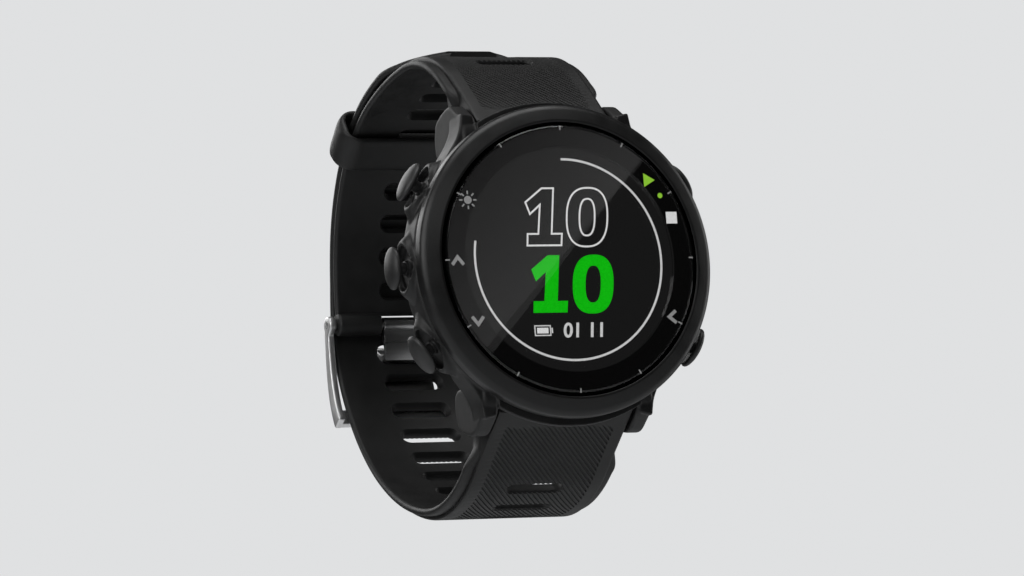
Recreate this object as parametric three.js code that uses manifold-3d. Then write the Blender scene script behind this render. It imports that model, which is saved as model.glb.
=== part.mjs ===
// GPS running watch: a round 42 mm case, five side buttons and a buckled silicone band.
// Millimetres. The watch axis is Y: the display faces -Y and the wrist lies at +Y.
// +Z is 12 o'clock, +X is 3 o'clock. The origin is the centre of the sensor window's rear face.
import * as THREE from 'three';
import { mergeVertices } from 'three/addons/utils/BufferGeometryUtils.js';
import Module from 'manifold-3d';

const wasm = await Module();
wasm.setup();

// ---------- driving dimensions ----------
const CASE_R = 21;
const BEZEL_R = 21.3;
const ROUND_STEPS = 36;

const LENS = { front: -11.6, back: -10.4, r: 18.5 };
const DISPLAY = { r: 17.3, back: -9.2 };
const BEZEL = { front: -11.5, back: -7.8, ledgeY: -10.2, ledgeR: 17.6, innerR: 18.65 };
const MID = { front: -7.8, back: -1.4, cavityR: 17.4, seatR: 18.5, seatY: -2.2 };
const BACK = { rear: -0.5, plateauR: 14.5, windowHoleR: 9.2 };
const WINDOW_R = 9.0;

const LUG = { inner: 10.2, outer: 12.4 };
const RECESS_Z = 18.2;
const LIP = { back: -6.9, shift: 1.1 };
const SPRING_BAR = { y: -3.3, z: 20.0, r: 0.75, boreR: 0.85, tipR: 0.4, tipX: 11.3 };

const SCREW = { circleR: 15.9, headR: 1.3, floorY: -1.7, headH: 0.6, shankR: 0.65, length: 3.4 };
const BOSS = { r: 1.9, height: 3.4 };

const PORT = { z: -11.6, floorY: -1.1, pitch: 1.9, pinR: 0.45 };
const BOARD = { y0: -7.7, y1: -6.9, r: 16.4 };
const BATTERY = { width: 19, height: 16, corner: 1.5, y0: -6.6, y1: -3.2 };
const MOTOR = { r: 1.5, halfLength: 4.5, y: -4.9, z: -10.6 };
const BUZZER = { r: 3.1, y0: -4.0, y1: -3.0, z: 11.6 };

const BUTTON_Y = -5.0;
const BUTTON_ANGLES = { light: 149.5, up: 180, down: 210.5, start: 29.5, back: -29.5 };
const CAP = { along: 5.8, across: 4.6, seatR: 22.7, crownR: 24.0 };
const STEM = { r: 0.8, holeR: 1.0, grooveR: 0.5, innerR: 16.3 };

const FLANGE = { half: 11.2, thick: 1.1 };
const RAISED = { half: 9.9, thick: 1.7 };
const SHOULDER_HALF = 10.1;
const SLOT = { length: 8.4, height: 2.0, pitch: 4.8 };
const TONGUE_SLOT = { length: 10.0, height: 3.0 };
const BAND_START_Z = 0.5;
const UPPER_START_Y = 45.1;
const TAIL_OFFSET = 1.9;
const UPPER_ARCS = [[10.5, 44], [25.2, 24.6], [12.5, 50], [14.0, 17.2]];
const LOWER_ARCS = [[8, 23], [35.5, 34], [16.5, 19.5]];
const TAIL_LENGTH = 51;
const TAIL_HALF = 11.0;
const TIP = { length: 9, narrowing: 7.5 };
const SLOTS = {
  upperFirst: 4.75,
  upperLast: 58,
  lowerFirst: 3.8,
  lowerLast: 57,
  tailFirst: 2.25,
  tailLast: 44,
};

const BUCKLE = {
  barY: 45.95,
  barR: 0.6,
  eyeR: 1.05,
  armIn: 11.5,
  armOut: 12.5,
  endS: 14,
  inner: 1.95,
  outer: 3.1,
};
const TONGUE = { half: 4.1, thick: 0.9, crossR: 4.7 };
const KEEPER = { centre: 50, halfSpan: 7.0, gap: 0.3, wall: 1.4 };

// ---------- materials ----------
function paint(color, roughness, metalness = 0) {
  return new THREE.MeshStandardMaterial({ color, roughness, metalness });
}

const FINISH = {
  bezel: paint(0x1b1c1e, 0.42),
  lens: paint(0x050506, 0.05),
  screen: paint(0x0c0d0e, 0.3),
  frame: paint(0x202123, 0.6),
  gasket: paint(0x121212, 0.8),
  caseBlack: paint(0x161719, 0.6),
  caseBack: paint(0x1a1b1d, 0.55),
  window: paint(0x060606, 0.08),
  screw: paint(0xa9abad, 0.35, 1),
  button: paint(0x2a2b2d, 0.5),
  steel: paint(0xc4c6c8, 0.25, 1),
  spring: paint(0xb4b6b8, 0.3, 1),
  switchBody: paint(0x2b2c2e, 0.6),
  battery: paint(0xb9bcc0, 0.4, 1),
  board: paint(0x0f4a2c, 0.5),
  motor: paint(0xc0c2c4, 0.3, 1),
  antenna: paint(0xb07a3a, 0.4, 1),
  gold: paint(0xd9b25c, 0.3, 1),
  silicone: paint(0x141415, 0.62),
};

// ---------- solids ----------
const SIDEWAYS = new THREE.Matrix4().makeBasis(
  new THREE.Vector3(0, 1, 0),
  new THREE.Vector3(0, 0, 1),
  new THREE.Vector3(1, 0, 0),
);
const PLAN = new THREE.Matrix4().makeBasis(
  new THREE.Vector3(1, 0, 0),
  new THREE.Vector3(0, 0, 1),
  new THREE.Vector3(0, -1, 0),
);

// A closed three.js geometry as a manifold solid with its faces pointing out.
function solid(geometry) {
  const plain = geometry.index ? geometry.toNonIndexed() : geometry.clone();
  plain.deleteAttribute('normal');
  plain.deleteAttribute('uv');
  const merged = mergeVertices(plain, 1e-4);
  const tris = [];
  const index = merged.index.array;
  for (let i = 0; i < index.length; i += 3) {
    const [a, b, c] = [index[i], index[i + 1], index[i + 2]];
    if (a !== b && b !== c && c !== a) {
      tris.push(a, b, c);
    }
  }
  const vertProperties = new Float32Array(merged.attributes.position.array);
  if (signedVolume(vertProperties, tris) < 0) {
    for (let i = 0; i < tris.length; i += 3) {
      [tris[i], tris[i + 1]] = [tris[i + 1], tris[i]];
    }
  }
  return new wasm.Manifold(new wasm.Mesh({ numProp: 3, vertProperties, triVerts: new Uint32Array(tris) }));
}

function signedVolume(p, tris) {
  const corner = (i) => new THREE.Vector3(p[3 * i], p[3 * i + 1], p[3 * i + 2]);
  let volume = 0;
  for (let i = 0; i < tris.length; i += 3) {
    volume += corner(tris[i]).dot(corner(tris[i + 1]).cross(corner(tris[i + 2])));
  }
  return volume / 6;
}

function toGeometry(manifold) {
  const mesh = manifold.getMesh();
  const geometry = new THREE.BufferGeometry();
  geometry.setAttribute('position', new THREE.BufferAttribute(new Float32Array(mesh.vertProperties), 3));
  geometry.setIndex(new THREE.BufferAttribute(new Uint32Array(mesh.triVerts), 1));
  geometry.computeVertexNormals();
  return geometry;
}

// Body of revolution about the watch axis; each profile point is [radius, y].
function lathe(profile, steps = ROUND_STEPS) {
  const points = profile.map(([r, y]) => new THREE.Vector2(r, y));
  points.push(points[0].clone());
  return solid(new THREE.LatheGeometry(points, steps));
}

const disc = (r, y0, y1, steps) => lathe([[0, y0], [r, y0], [r, y1], [0, y1]], steps);
const ring = (rIn, rOut, y0, y1, steps) => lathe([[rIn, y0], [rOut, y0], [rOut, y1], [rIn, y1]], steps);

// A (y, z) outline extruded along X.
function sideways(outline, x0, x1) {
  const shape = new THREE.Shape(outline.map(([y, z]) => new THREE.Vector2(y, z)));
  const geometry = new THREE.ExtrudeGeometry(shape, { depth: x1 - x0, bevelEnabled: false, curveSegments: 6 });
  geometry.translate(0, 0, x0);
  geometry.applyMatrix4(SIDEWAYS);
  return solid(geometry);
}

// An (x, z) outline extruded along Y.
function plan(shape, y0, y1) {
  const geometry = new THREE.ExtrudeGeometry(shape, { depth: y1 - y0, bevelEnabled: false, curveSegments: 4 });
  geometry.applyMatrix4(PLAN);
  geometry.translate(0, y1, 0);
  return solid(geometry);
}

function roundedRect(width, height, corner) {
  const [w, h] = [width / 2, height / 2];
  const shape = new THREE.Shape();
  shape.moveTo(-w + corner, -h);
  shape.lineTo(w - corner, -h);
  shape.absarc(w - corner, -h + corner, corner, -Math.PI / 2, 0);
  shape.lineTo(w, h - corner);
  shape.absarc(w - corner, h - corner, corner, 0, Math.PI / 2);
  shape.lineTo(-w + corner, h);
  shape.absarc(-w + corner, h - corner, corner, Math.PI / 2, Math.PI);
  shape.lineTo(-w, -h + corner);
  shape.absarc(-w + corner, -h + corner, corner, Math.PI, 1.5 * Math.PI);
  return shape;
}

function box(x0, x1, y0, y1, z0, z1) {
  const geometry = new THREE.BoxGeometry(x1 - x0, y1 - y0, z1 - z0);
  geometry.translate((x0 + x1) / 2, (y0 + y1) / 2, (z0 + z1) / 2);
  return solid(geometry);
}

// A rod along X.
function rod(r, x0, x1, y, z, steps = 12) {
  const geometry = new THREE.CylinderGeometry(r, r, x1 - x0, steps);
  geometry.rotateZ(Math.PI / 2);
  geometry.translate((x0 + x1) / 2, y, z);
  return solid(geometry);
}

const unite = (parts) => parts.reduce((sum, part) => sum.add(part));
const cut = (body, tools) => tools.reduce((left, tool) => left.subtract(tool), body);

const watch = new THREE.Group();

function place(name, finish, body, group = watch) {
  const mesh = new THREE.Mesh(body.isBufferGeometry ? body : toGeometry(body), finish);
  mesh.name = name;
  group.add(mesh);
  return mesh;
}

// ---------- the band's path ----------
// A path is a chain of tangent arcs in the (y, z) plane; turn is +1 for left, -1 for right.
function bandPath(start, heading, turn, arcs) {
  const pieces = [];
  let [y, z, h, s] = [...start, heading, 0];
  for (const [length, r] of arcs) {
    const centre = [y - turn * r * Math.sin(h), z + turn * r * Math.cos(h)];
    pieces.push({ s, length, r, h, centre });
    h += (turn * length) / r;
    y = centre[0] + turn * r * Math.sin(h);
    z = centre[1] - turn * r * Math.cos(h);
    s += length;
  }
  // The point at distance s along the path, moved outwards by offset.
  const at = (distance, offset = 0) => {
    const piece = pieces.findLast((candidate) => candidate.s <= distance) ?? pieces[0];
    const angle = piece.h + (turn * (distance - piece.s)) / piece.r;
    const reach = piece.r + offset;
    return [
      piece.centre[0] + turn * reach * Math.sin(angle),
      piece.centre[1] - turn * reach * Math.cos(angle),
    ];
  };
  const angleAt = (distance) => {
    const piece = pieces.findLast((candidate) => candidate.s <= distance) ?? pieces[0];
    return piece.h + (turn * (distance - piece.s)) / piece.r;
  };
  return { at, angleAt, pieces, end: s };
}

const UP_HEADING = Math.PI / 2;
const upperPath = bandPath([UPPER_START_Y, BAND_START_Z], UP_HEADING, 1, UPPER_ARCS);
const tailArcs = UPPER_ARCS.map(([length, r]) => [length * (1 + TAIL_OFFSET / r), r + TAIL_OFFSET]);
const tailPath = bandPath([UPPER_START_Y + TAIL_OFFSET, BAND_START_Z], UP_HEADING, 1, tailArcs);
const lowerPath = bandPath([UPPER_START_Y + TAIL_OFFSET, BAND_START_Z], -UP_HEADING, -1, LOWER_ARCS);

function stretch(path, from, to, offset, step = 3) {
  const count = Math.ceil(Math.abs(to - from) / step);
  return Array.from({ length: count + 1 }, (_, i) => path.at(from + ((to - from) * i) / count, offset));
}

function arcPoints([cy, cz], r, from, to, count) {
  return Array.from({ length: count + 1 }, (_, i) => {
    const angle = THREE.MathUtils.degToRad(from + ((to - from) * i) / count);
    return [cy + r * Math.cos(angle), cz + r * Math.sin(angle)];
  });
}

// One oblong slot through the band at distance s.
function slotTool(path, s, size = SLOT) {
  const depth = 8;
  const shape = roundedRect(size.length, size.height, size.height / 2 - 0.02);
  const geometry = new THREE.ExtrudeGeometry(shape, { depth, bevelEnabled: false, curveSegments: 2 });
  geometry.translate(0, 0, -depth / 2);
  const [y, z] = path.at(s, RAISED.thick / 2);
  const angle = path.angleAt(s);
  const along = new THREE.Vector3(0, Math.cos(angle), Math.sin(angle));
  const across = new THREE.Vector3(1, 0, 0);
  const through = new THREE.Vector3().crossVectors(across, along);
  geometry.applyMatrix4(new THREE.Matrix4().makeBasis(across, along, through));
  geometry.translate(0, y, z);
  return solid(geometry);
}

// ---------- case ----------
function bezel() {
  return lathe([
    [BEZEL.ledgeR, BEZEL.back],
    [BEZEL.ledgeR, BEZEL.ledgeY],
    [BEZEL.innerR, BEZEL.ledgeY],
    [BEZEL.innerR, BEZEL.front],
    [18.95, -11.6],
    [20.9, -10.8],
    [BEZEL_R, -10.3],
    [BEZEL_R, -8.5],
    [20.7, BEZEL.back],
  ]);
}

function lens() {
  const chamfer = 0.3;
  return lathe([
    [0, LENS.front],
    [LENS.r - chamfer, LENS.front],
    [LENS.r, LENS.front + 0.2],
    [LENS.r, LENS.back],
    [0, LENS.back],
  ]);
}

function lugPair(side) {
  const outline = [
    [-7.4, 12.5],
    [-7.4, 18.4],
    [-6.6, 20.4],
    [-3.0, 22.6],
    [0.0, 21.9],
    [2.2, 20.9],
    [2.9, 18.6],
    [2.7, 16.4],
    [1.6, 15.6],
    [-2.6, 15.6],
    [-2.6, 12.5],
  ].map(([y, z]) => [y, side * z]);
  return unite([sideways(outline, -LUG.outer, -LUG.inner), sideways(outline, LUG.inner, LUG.outer)]);
}

// A turned group's matrix: local +X points radially outwards at the clock angle in degrees.
const radial = (degrees) => new THREE.Matrix4().makeRotationY(THREE.MathUtils.degToRad(-degrees));

function turned(geometry, degrees) {
  return solid(geometry.clone().applyMatrix4(radial(degrees)));
}

function ovalPrism(along, across, x0, x1, taper = 1) {
  const geometry = new THREE.CylinderGeometry(1, taper, x1 - x0, 14);
  geometry.rotateZ(-Math.PI / 2);
  geometry.scale(1, across / 2, along / 2);
  geometry.translate((x0 + x1) / 2, BUTTON_Y, 0);
  return geometry;
}

function midCase() {
  const shell = lathe([
    [MID.cavityR, MID.front],
    [20.5, MID.front],
    [CASE_R, -7.3],
    [CASE_R, -3.4],
    [20.3, -2.1],
    [19.3, MID.back],
    [MID.seatR, MID.back],
    [MID.seatR, MID.seatY],
    [MID.cavityR, MID.seatY],
  ]);
  const bosses = screwSpots().map(([x, z]) => upright(BOSS.r, MID.seatY - BOSS.height, MID.seatY, x, z, 10));
  const collars = Object.values(BUTTON_ANGLES).map((a) => turned(ovalPrism(7.4, 4.6, 18.4, 21.8, 1.15), a));
  const holes = Object.values(BUTTON_ANGLES).flatMap((a) => [
    turned(ovalPrism(6.5, 4.4, 20.9, 24), a),
    turned(stemShape(STEM.holeR, 15, 24), a),
  ]);
  const recesses = [-1, 1].map((side) => {
    const far = side * 26;
    const near = side * RECESS_Z;
    return box(-LUG.inner, LUG.inner, LIP.back, 4, Math.min(near, far), Math.max(near, far));
  });
  const screwHoles = screwSpots().map(([x, z]) => {
    return upright(SCREW.shankR + 0.02, SCREW.floorY - SCREW.length, SCREW.floorY, x, z, 10);
  });
  const lips = [-1, 1].map((side) => {
    const [z0, z1] = [side * 17, side * 24].sort((a, b) => a - b);
    const bow = upright(CASE_R, MID.front, LIP.back, 0, side * LIP.shift, ROUND_STEPS);
    return bow.intersect(box(-LUG.inner, LUG.inner, MID.front, LIP.back, z0, z1));
  });
  const barHoles = [-1, 1].map((side) => rod(0.5, -11.6, 11.6, SPRING_BAR.y, side * SPRING_BAR.z, 10));
  const shellWithLugs = unite([shell, ...bosses, lugPair(1), lugPair(-1), ...collars, ...lips]);
  const inside = disc(MID.cavityR, MID.front, MID.back + 1);
  const clearance = cut(inside, bosses);
  return cut(shellWithLugs, [clearance, ...holes, ...recesses, ...screwHoles, ...barHoles]);
}

function stemShape(r, x0, x1, steps = 8) {
  const geometry = new THREE.CylinderGeometry(r, r, x1 - x0, steps);
  geometry.rotateZ(Math.PI / 2);
  geometry.translate((x0 + x1) / 2, BUTTON_Y, 0);
  return geometry;
}

function screwSpots() {
  return [45, 135, 225, 315].map((degrees) => {
    const a = THREE.MathUtils.degToRad(degrees);
    return [SCREW.circleR * Math.cos(a), SCREW.circleR * Math.sin(a)];
  });
}

function lensGasket() {
  return ring(BEZEL.ledgeR + 0.1, LENS.r - 0.05, LENS.back, BEZEL.ledgeY);
}

function displayFrame() {
  const [wall, floor, rim] = [0.8, 0.5, BEZEL.back - 0.1];
  const innerR = DISPLAY.r - wall;
  return lathe([
    [0, DISPLAY.back],
    [DISPLAY.r, DISPLAY.back],
    [DISPLAY.r, rim],
    [innerR, rim],
    [innerR, DISPLAY.back + floor],
    [0, DISPLAY.back + floor],
  ]);
}

// ---------- case back ----------
function caseBack() {
  const plate = lathe([
    [BACK.windowHoleR, BACK.rear],
    [BACK.plateauR, BACK.rear],
    [17.6, -1.4],
    [18.35, -1.4],
    [18.35, MID.seatY],
    [17.95, MID.seatY],
    [17.95, -1.8],
    [17.45, -1.8],
    [17.45, MID.seatY],
    [8.2, MID.seatY],
    [8.2, -1.2],
    [BACK.windowHoleR, -1.2],
  ]);
  const screwCuts = screwSpots().flatMap(([x, z]) => [
    upright(1.5, SCREW.floorY, 1, x, z, 10),
    upright(SCREW.shankR + 0.1, -3, 0, x, z, 10),
  ]);
  const port = plan(roundedRect(9, 2.6, 1.2), PORT.floorY, 0.5).translate([0, 0, PORT.z]);
  const pins = contactSpots().map((x) => upright(PORT.pinR + 0.05, -3, 0, x, PORT.z, 10));
  return cut(plate, [...screwCuts, port, ...pins]);
}

function upright(r, y0, y1, x, z, steps = 12) {
  const geometry = new THREE.CylinderGeometry(r, r, y1 - y0, steps);
  geometry.translate(x, (y0 + y1) / 2, z);
  return solid(geometry);
}

const contactSpots = () => [-3, -1, 1, 3].map((step) => step * PORT.pitch / 2);

function sensorWindow() {
  return lathe([[0, -1.2], [WINDOW_R, -1.2], [WINDOW_R, -0.35], [WINDOW_R - 0.4, 0], [0, 0]]);
}

function caseScrew([x, z]) {
  const head = upright(SCREW.headR, SCREW.floorY, SCREW.floorY + SCREW.headH, x, z, 10);
  const shank = upright(SCREW.shankR, SCREW.floorY - SCREW.length + 0.2, SCREW.floorY + 0.1, x, z, 10);
  const socket = upright(0.55, SCREW.floorY + 0.2, SCREW.floorY + 1, x, z, 6);
  return head.add(shank).subtract(socket);
}

// ---------- buttons: built along local +X, then turned to their clock angle ----------
function buttonCap() {
  const seat = CAP.seatR;
  const profile = [
    [0, seat],
    [0.9, seat],
    [1, seat + 0.3],
    [0.96, seat + 0.75],
    [0.72, seat + 1.15],
    [0, CAP.crownR],
  ];
  const points = profile.map(([r, x]) => new THREE.Vector2(r, x));
  const dome = new THREE.LatheGeometry(points, 16);
  dome.rotateZ(-Math.PI / 2);
  dome.scale(1, CAP.across / 2, CAP.along / 2);
  dome.translate(0, BUTTON_Y, 0);
  const stem = [
    stemShape(STEM.r, 19.3, seat + 0.2),
    stemShape(STEM.grooveR, 18.5, 19.4),
    stemShape(STEM.r, 17.2, 18.6),
    stemShape(STEM.grooveR, 16.8, 17.3),
    stemShape(STEM.r, STEM.innerR, 16.9),
  ];
  return unite([solid(dome), ...stem.map(solid)]);
}

function stemSeal() {
  const geometry = new THREE.TorusGeometry(0.76, 0.19, 5, 10);
  geometry.rotateY(Math.PI / 2);
  geometry.translate(18.95, BUTTON_Y, 0);
  return solid(geometry);
}

function stemClip() {
  const shape = new THREE.Shape();
  const open = 0.5;
  shape.absarc(0, 0, 1.4, open, 2 * Math.PI - open);
  shape.absarc(0, 0, 0.6, 2 * Math.PI - open, open, true);
  const geometry = new THREE.ExtrudeGeometry(shape, { depth: 0.25, bevelEnabled: false, curveSegments: 5 });
  geometry.rotateY(Math.PI / 2);
  geometry.translate(16.93, BUTTON_Y, 0);
  return solid(geometry);
}

function tactSwitch() {
  const body = box(13.6, 15.1, BOARD.y1, BUTTON_Y + 1.3, -1.4, 1.4);
  const dome = new THREE.CylinderGeometry(0.8, 1.1, 0.35, 12);
  dome.rotateZ(-Math.PI / 2);
  dome.translate(15.25, BUTTON_Y, 0);
  return body.add(solid(dome));
}

function buttonSet() {
  for (const [name, degrees] of Object.entries(BUTTON_ANGLES)) {
    const group = new THREE.Group();
    group.applyMatrix4(radial(degrees));
    watch.add(group);
    place(`button_${name}`, FINISH.button, buttonCap(), group);
    place(`button_seal_${name}`, FINISH.gasket, stemSeal(), group);
    place(`button_clip_${name}`, FINISH.steel, stemClip(), group);
    place(`switch_${name}`, FINISH.switchBody, tactSwitch(), group);
  }
}

// ---------- inside the case ----------
function antenna() {
  const shape = new THREE.Shape();
  const [from, to] = [THREE.MathUtils.degToRad(60), THREE.MathUtils.degToRad(120)];
  const outerR = MID.cavityR - 0.4;
  shape.absarc(0, 0, outerR, from, to);
  shape.absarc(0, 0, outerR - 0.4, to, from, true);
  return plan(shape, BATTERY.y0, BATTERY.y1 - 0.2);
}

function innerPieces() {
  place('display_panel', FINISH.screen, disc(DISPLAY.r, LENS.back, DISPLAY.back));
  place('display_frame', FINISH.frame, displayFrame());
  place('main_board', FINISH.board, disc(BOARD.r, BOARD.y0, BOARD.y1, 32));
  const cell = roundedRect(BATTERY.width, BATTERY.height, BATTERY.corner);
  place('battery', FINISH.battery, plan(cell, BATTERY.y0, BATTERY.y1));
  const motor = rod(MOTOR.r, -MOTOR.halfLength, MOTOR.halfLength, MOTOR.y, MOTOR.z, 14);
  place('vibration_motor', FINISH.motor, motor);
  place('buzzer', FINISH.gold, upright(BUZZER.r, BUZZER.y0, BUZZER.y1, 0, BUZZER.z, 20));
  place('antenna', FINISH.antenna, antenna());
  place('sensor_board', FINISH.board, disc(7.9, -2.1, -1.4, 24));
}

// ---------- band ----------
// A closed ribbon through stations; each has an inner and an outer (y, z) point and a half width.
function ribbon(stations) {
  const position = [];
  const index = [];
  for (const { inner, outer, half } of stations) {
    position.push(-half, ...inner, half, ...inner, half, ...outer, -half, ...outer);
  }
  const last = 4 * (stations.length - 1);
  for (let start = 0; start < last; start += 4) {
    for (let side = 0; side < 4; side += 1) {
      const [a, b] = [start + side, start + ((side + 1) % 4)];
      index.push(a, b, b + 4, a, b + 4, a + 4);
    }
  }
  index.push(0, 2, 1, 0, 3, 2, last, last + 1, last + 2, last, last + 2, last + 3);
  const geometry = new THREE.BufferGeometry();
  geometry.setAttribute('position', new THREE.BufferAttribute(new Float32Array(position), 3));
  geometry.setIndex(index);
  return solid(geometry);
}

function stations(path, from, to, low, high, half) {
  const count = Math.ceil(Math.abs(to - from) / 3.6);
  return Array.from({ length: count + 1 }, (_, i) => {
    const s = from + ((to - from) * i) / count;
    return { inner: path.at(s, low), outer: path.at(s, high), half: half(s) };
  });
}

const toSide = (side) => ([y, z]) => [y, side * z];

// The shoulder between the lugs: rows of inner y, z, outer y, z and half width.
function shoulder(rows, side) {
  const mirror = toSide(side);
  return rows.map(([y0, z0, y1, z1, half]) => ({ inner: mirror([y0, z0]), outer: mirror([y1, z1]), half }));
}

const LOWER_SHOULDER = [
  [3.5, 22.8, 0.3, 23.9, SHOULDER_HALF],
  [3.3, 20.8, -1.0, 21.8, SHOULDER_HALF],
  [3.1, 18.6, -1.1, 19.4, SHOULDER_HALF],
  [2.8, 16.4, -0.4, 16.9, SHOULDER_HALF],
  [1.7, 14.3, -0.2, 14.6, SHOULDER_HALF],
  [0.7, 13.7, -0.1, 13.9, SHOULDER_HALF],
];
const UPPER_SHOULDER = [
  [0.7, 24.4, -1.2, 25.6, FLANGE.half],
  [1.5, 22.2, -1.8, 23.0, SHOULDER_HALF],
  [2.7, 20.2, -1.1, 21.4, SHOULDER_HALF],
  [3.1, 18.2, -1.1, 19.2, SHOULDER_HALF],
  [2.8, 16.2, -0.4, 16.9, SHOULDER_HALF],
  [1.7, 14.3, -0.2, 14.6, SHOULDER_HALF],
  [0.7, 13.7, -0.1, 13.9, SHOULDER_HALF],
];

// The full-depth neck between a pair of lugs, with its front face in line with them.
function neck(path, side, front) {
  const outline = [
    path.at(path.end - 1.5, RAISED.thick),
    ...front.map(toSide(side)),
    ...[[-6.4, 18.6], [-0.6, 18.6], [2.4, 20.5]].map(toSide(side)),
    path.at(path.end - 1.5, 0.6),
  ];
  return sideways(outline, -RAISED.half, RAISED.half);
}

function releaseCuts(side) {
  const z = side * SPRING_BAR.z;
  return [
    rod(SPRING_BAR.boreR, -12, 12, SPRING_BAR.y, z, 12),
    box(-9.2, -5.0, SPRING_BAR.y, 6, z - 1.3, z + 1.3),
  ];
}

const slotPlaces = (first, last) => {
  const places = [];
  for (let s = first; s <= last; s += SLOT.pitch) {
    places.push(s);
  }
  return places;
};

function upperStrap() {
  const wide = () => FLANGE.half;
  const flange = ribbon([
    ...stations(upperPath, 0, upperPath.end, 0, FLANGE.thick, wide),
    ...shoulder(UPPER_SHOULDER, 1),
  ]);
  const raised = ribbon(stations(upperPath, 0, upperPath.end - 1, 0.8, RAISED.thick, () => RAISED.half));
  const eye = rod(BUCKLE.eyeR, -FLANGE.half, FLANGE.half, BUCKLE.barY, BAND_START_Z, 14);
  const solidBand = unite([flange, raised, eye, neck(upperPath, 1, [[1.3, 27.6], [-4.3, 22.3], [-6.4, 19.9]])]);
  const notch = box(-4.8, 4.8, 43, 48, -2, 3.4);
  const bore = rod(BUCKLE.barR + 0.1, -12, 12, BUCKLE.barY, BAND_START_Z, 12);
  const slots = slotPlaces(SLOTS.upperFirst, SLOTS.upperLast).map((s) => slotTool(upperPath, s));
  return cut(solidBand, [notch, bore, ...slots, ...releaseCuts(1)]);
}

function tailHalf(s) {
  const toTip = TAIL_LENGTH - s;
  const { length, narrowing } = TIP;
  return toTip > length ? TAIL_HALF : TAIL_HALF - narrowing * (1 - toTip / length) ** 2;
}

function lowerStrap() {
  const towardsTip = (path, to, low, high, half) => stations(path, to, 0, low, high, half).slice(0, -1);
  const flange = ribbon([
    ...towardsTip(tailPath, TAIL_LENGTH, 0, FLANGE.thick, tailHalf),
    ...stations(lowerPath, 0, lowerPath.end, 0, FLANGE.thick, () => FLANGE.half),
    ...shoulder(LOWER_SHOULDER, -1),
  ]);
  const raised = ribbon([
    ...towardsTip(tailPath, TAIL_LENGTH - 1.4, 0.8, RAISED.thick, (s) => tailHalf(s + 0.6) - 1.2),
    ...stations(lowerPath, 0, lowerPath.end - 1, 0.8, RAISED.thick, () => RAISED.half),
  ]);
  const solidBand = unite([flange, raised, neck(lowerPath, -1, [[-1.7, 22.5], [-6.4, 19.9]])]);
  const slots = [
    slotTool(lowerPath, SLOTS.lowerFirst, TONGUE_SLOT),
    ...slotPlaces(SLOTS.lowerFirst + SLOT.pitch, SLOTS.lowerLast).map((s) => slotTool(lowerPath, s)),
    ...slotPlaces(SLOTS.tailFirst, SLOTS.tailLast).map((s) => slotTool(tailPath, s)),
  ];
  return cut(solidBand, [...slots, ...releaseCuts(-1)]);
}

// ---------- quick-release spring bars ----------
function springBarBarrel(side) {
  const z = side * SPRING_BAR.z;
  const { y, r, tipR, tipX } = SPRING_BAR;
  const tube = rod(r, -9.6, 9.6, y, z, 12).add(rod(tipR, 9, tipX, y, z, 10));
  return cut(tube, [rod(0.5, -10, -4.2, y, z, 10), box(-8.1, -5.9, y, y + 2, z - 0.45, z + 0.45)]);
}

function releasePin(side) {
  const z = side * SPRING_BAR.z;
  const { y, tipR, tipX } = SPRING_BAR;
  const post = upright(0.32, y, y + 2.1, -7.6, z, 10);
  const knob = box(-8.5, -6.8, y + 1.6, y + 2.4, z - 0.9, z + 0.9);
  return unite([rod(tipR, -tipX, -5.6, y, z, 10), post, knob]);
}

// ---------- buckle ----------
// The point at distance r from the buckle bar, phi degrees outwards from straight down.
function fromBar(r, phi) {
  const a = THREE.MathUtils.degToRad(phi);
  return [BUCKLE.barY + r * Math.sin(a), BAND_START_Z - r * Math.cos(a)];
}

function buckleBar() {
  const main = rod(BUCKLE.barR, -BUCKLE.armIn + 0.15, BUCKLE.armIn - 0.15, BUCKLE.barY, BAND_START_Z, 12);
  return main.add(rod(0.4, -12.2, 12.2, BUCKLE.barY, BAND_START_Z, 10));
}

function buckleFrame() {
  const reach = (s, low, high) => low + ((high - low) * s) / BUCKLE.endS;
  const steps = [0, 3.5, 7, 10.5, BUCKLE.endS];
  const arm = [
    ...steps.map((s) => lowerPath.at(s, reach(s, -2.3, 0.8))),
    ...[...steps].reverse().map((s) => lowerPath.at(s, reach(s, 0.0, BUCKLE.outer))),
  ];
  const arms = [-1, 1].map((side) => {
    const [x0, x1] = side > 0 ? [BUCKLE.armIn, BUCKLE.armOut] : [-BUCKLE.armOut, -BUCKLE.armIn];
    return sideways(arm, x0, x1).add(rod(1.3, x0, x1, BUCKLE.barY, BAND_START_Z, 16));
  });
  const farBar = [
    ...stretch(lowerPath, BUCKLE.endS - 2.4, BUCKLE.endS, BUCKLE.inner, 1.2),
    ...stretch(lowerPath, BUCKLE.endS, BUCKLE.endS - 2.4, BUCKLE.outer, 1.2),
  ];
  const hole = rod(0.5, -12.3, 12.3, BUCKLE.barY, BAND_START_Z, 12);
  return unite([...arms, sideways(farBar, -BUCKLE.armOut, BUCKLE.armOut)]).subtract(hole);
}

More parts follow.
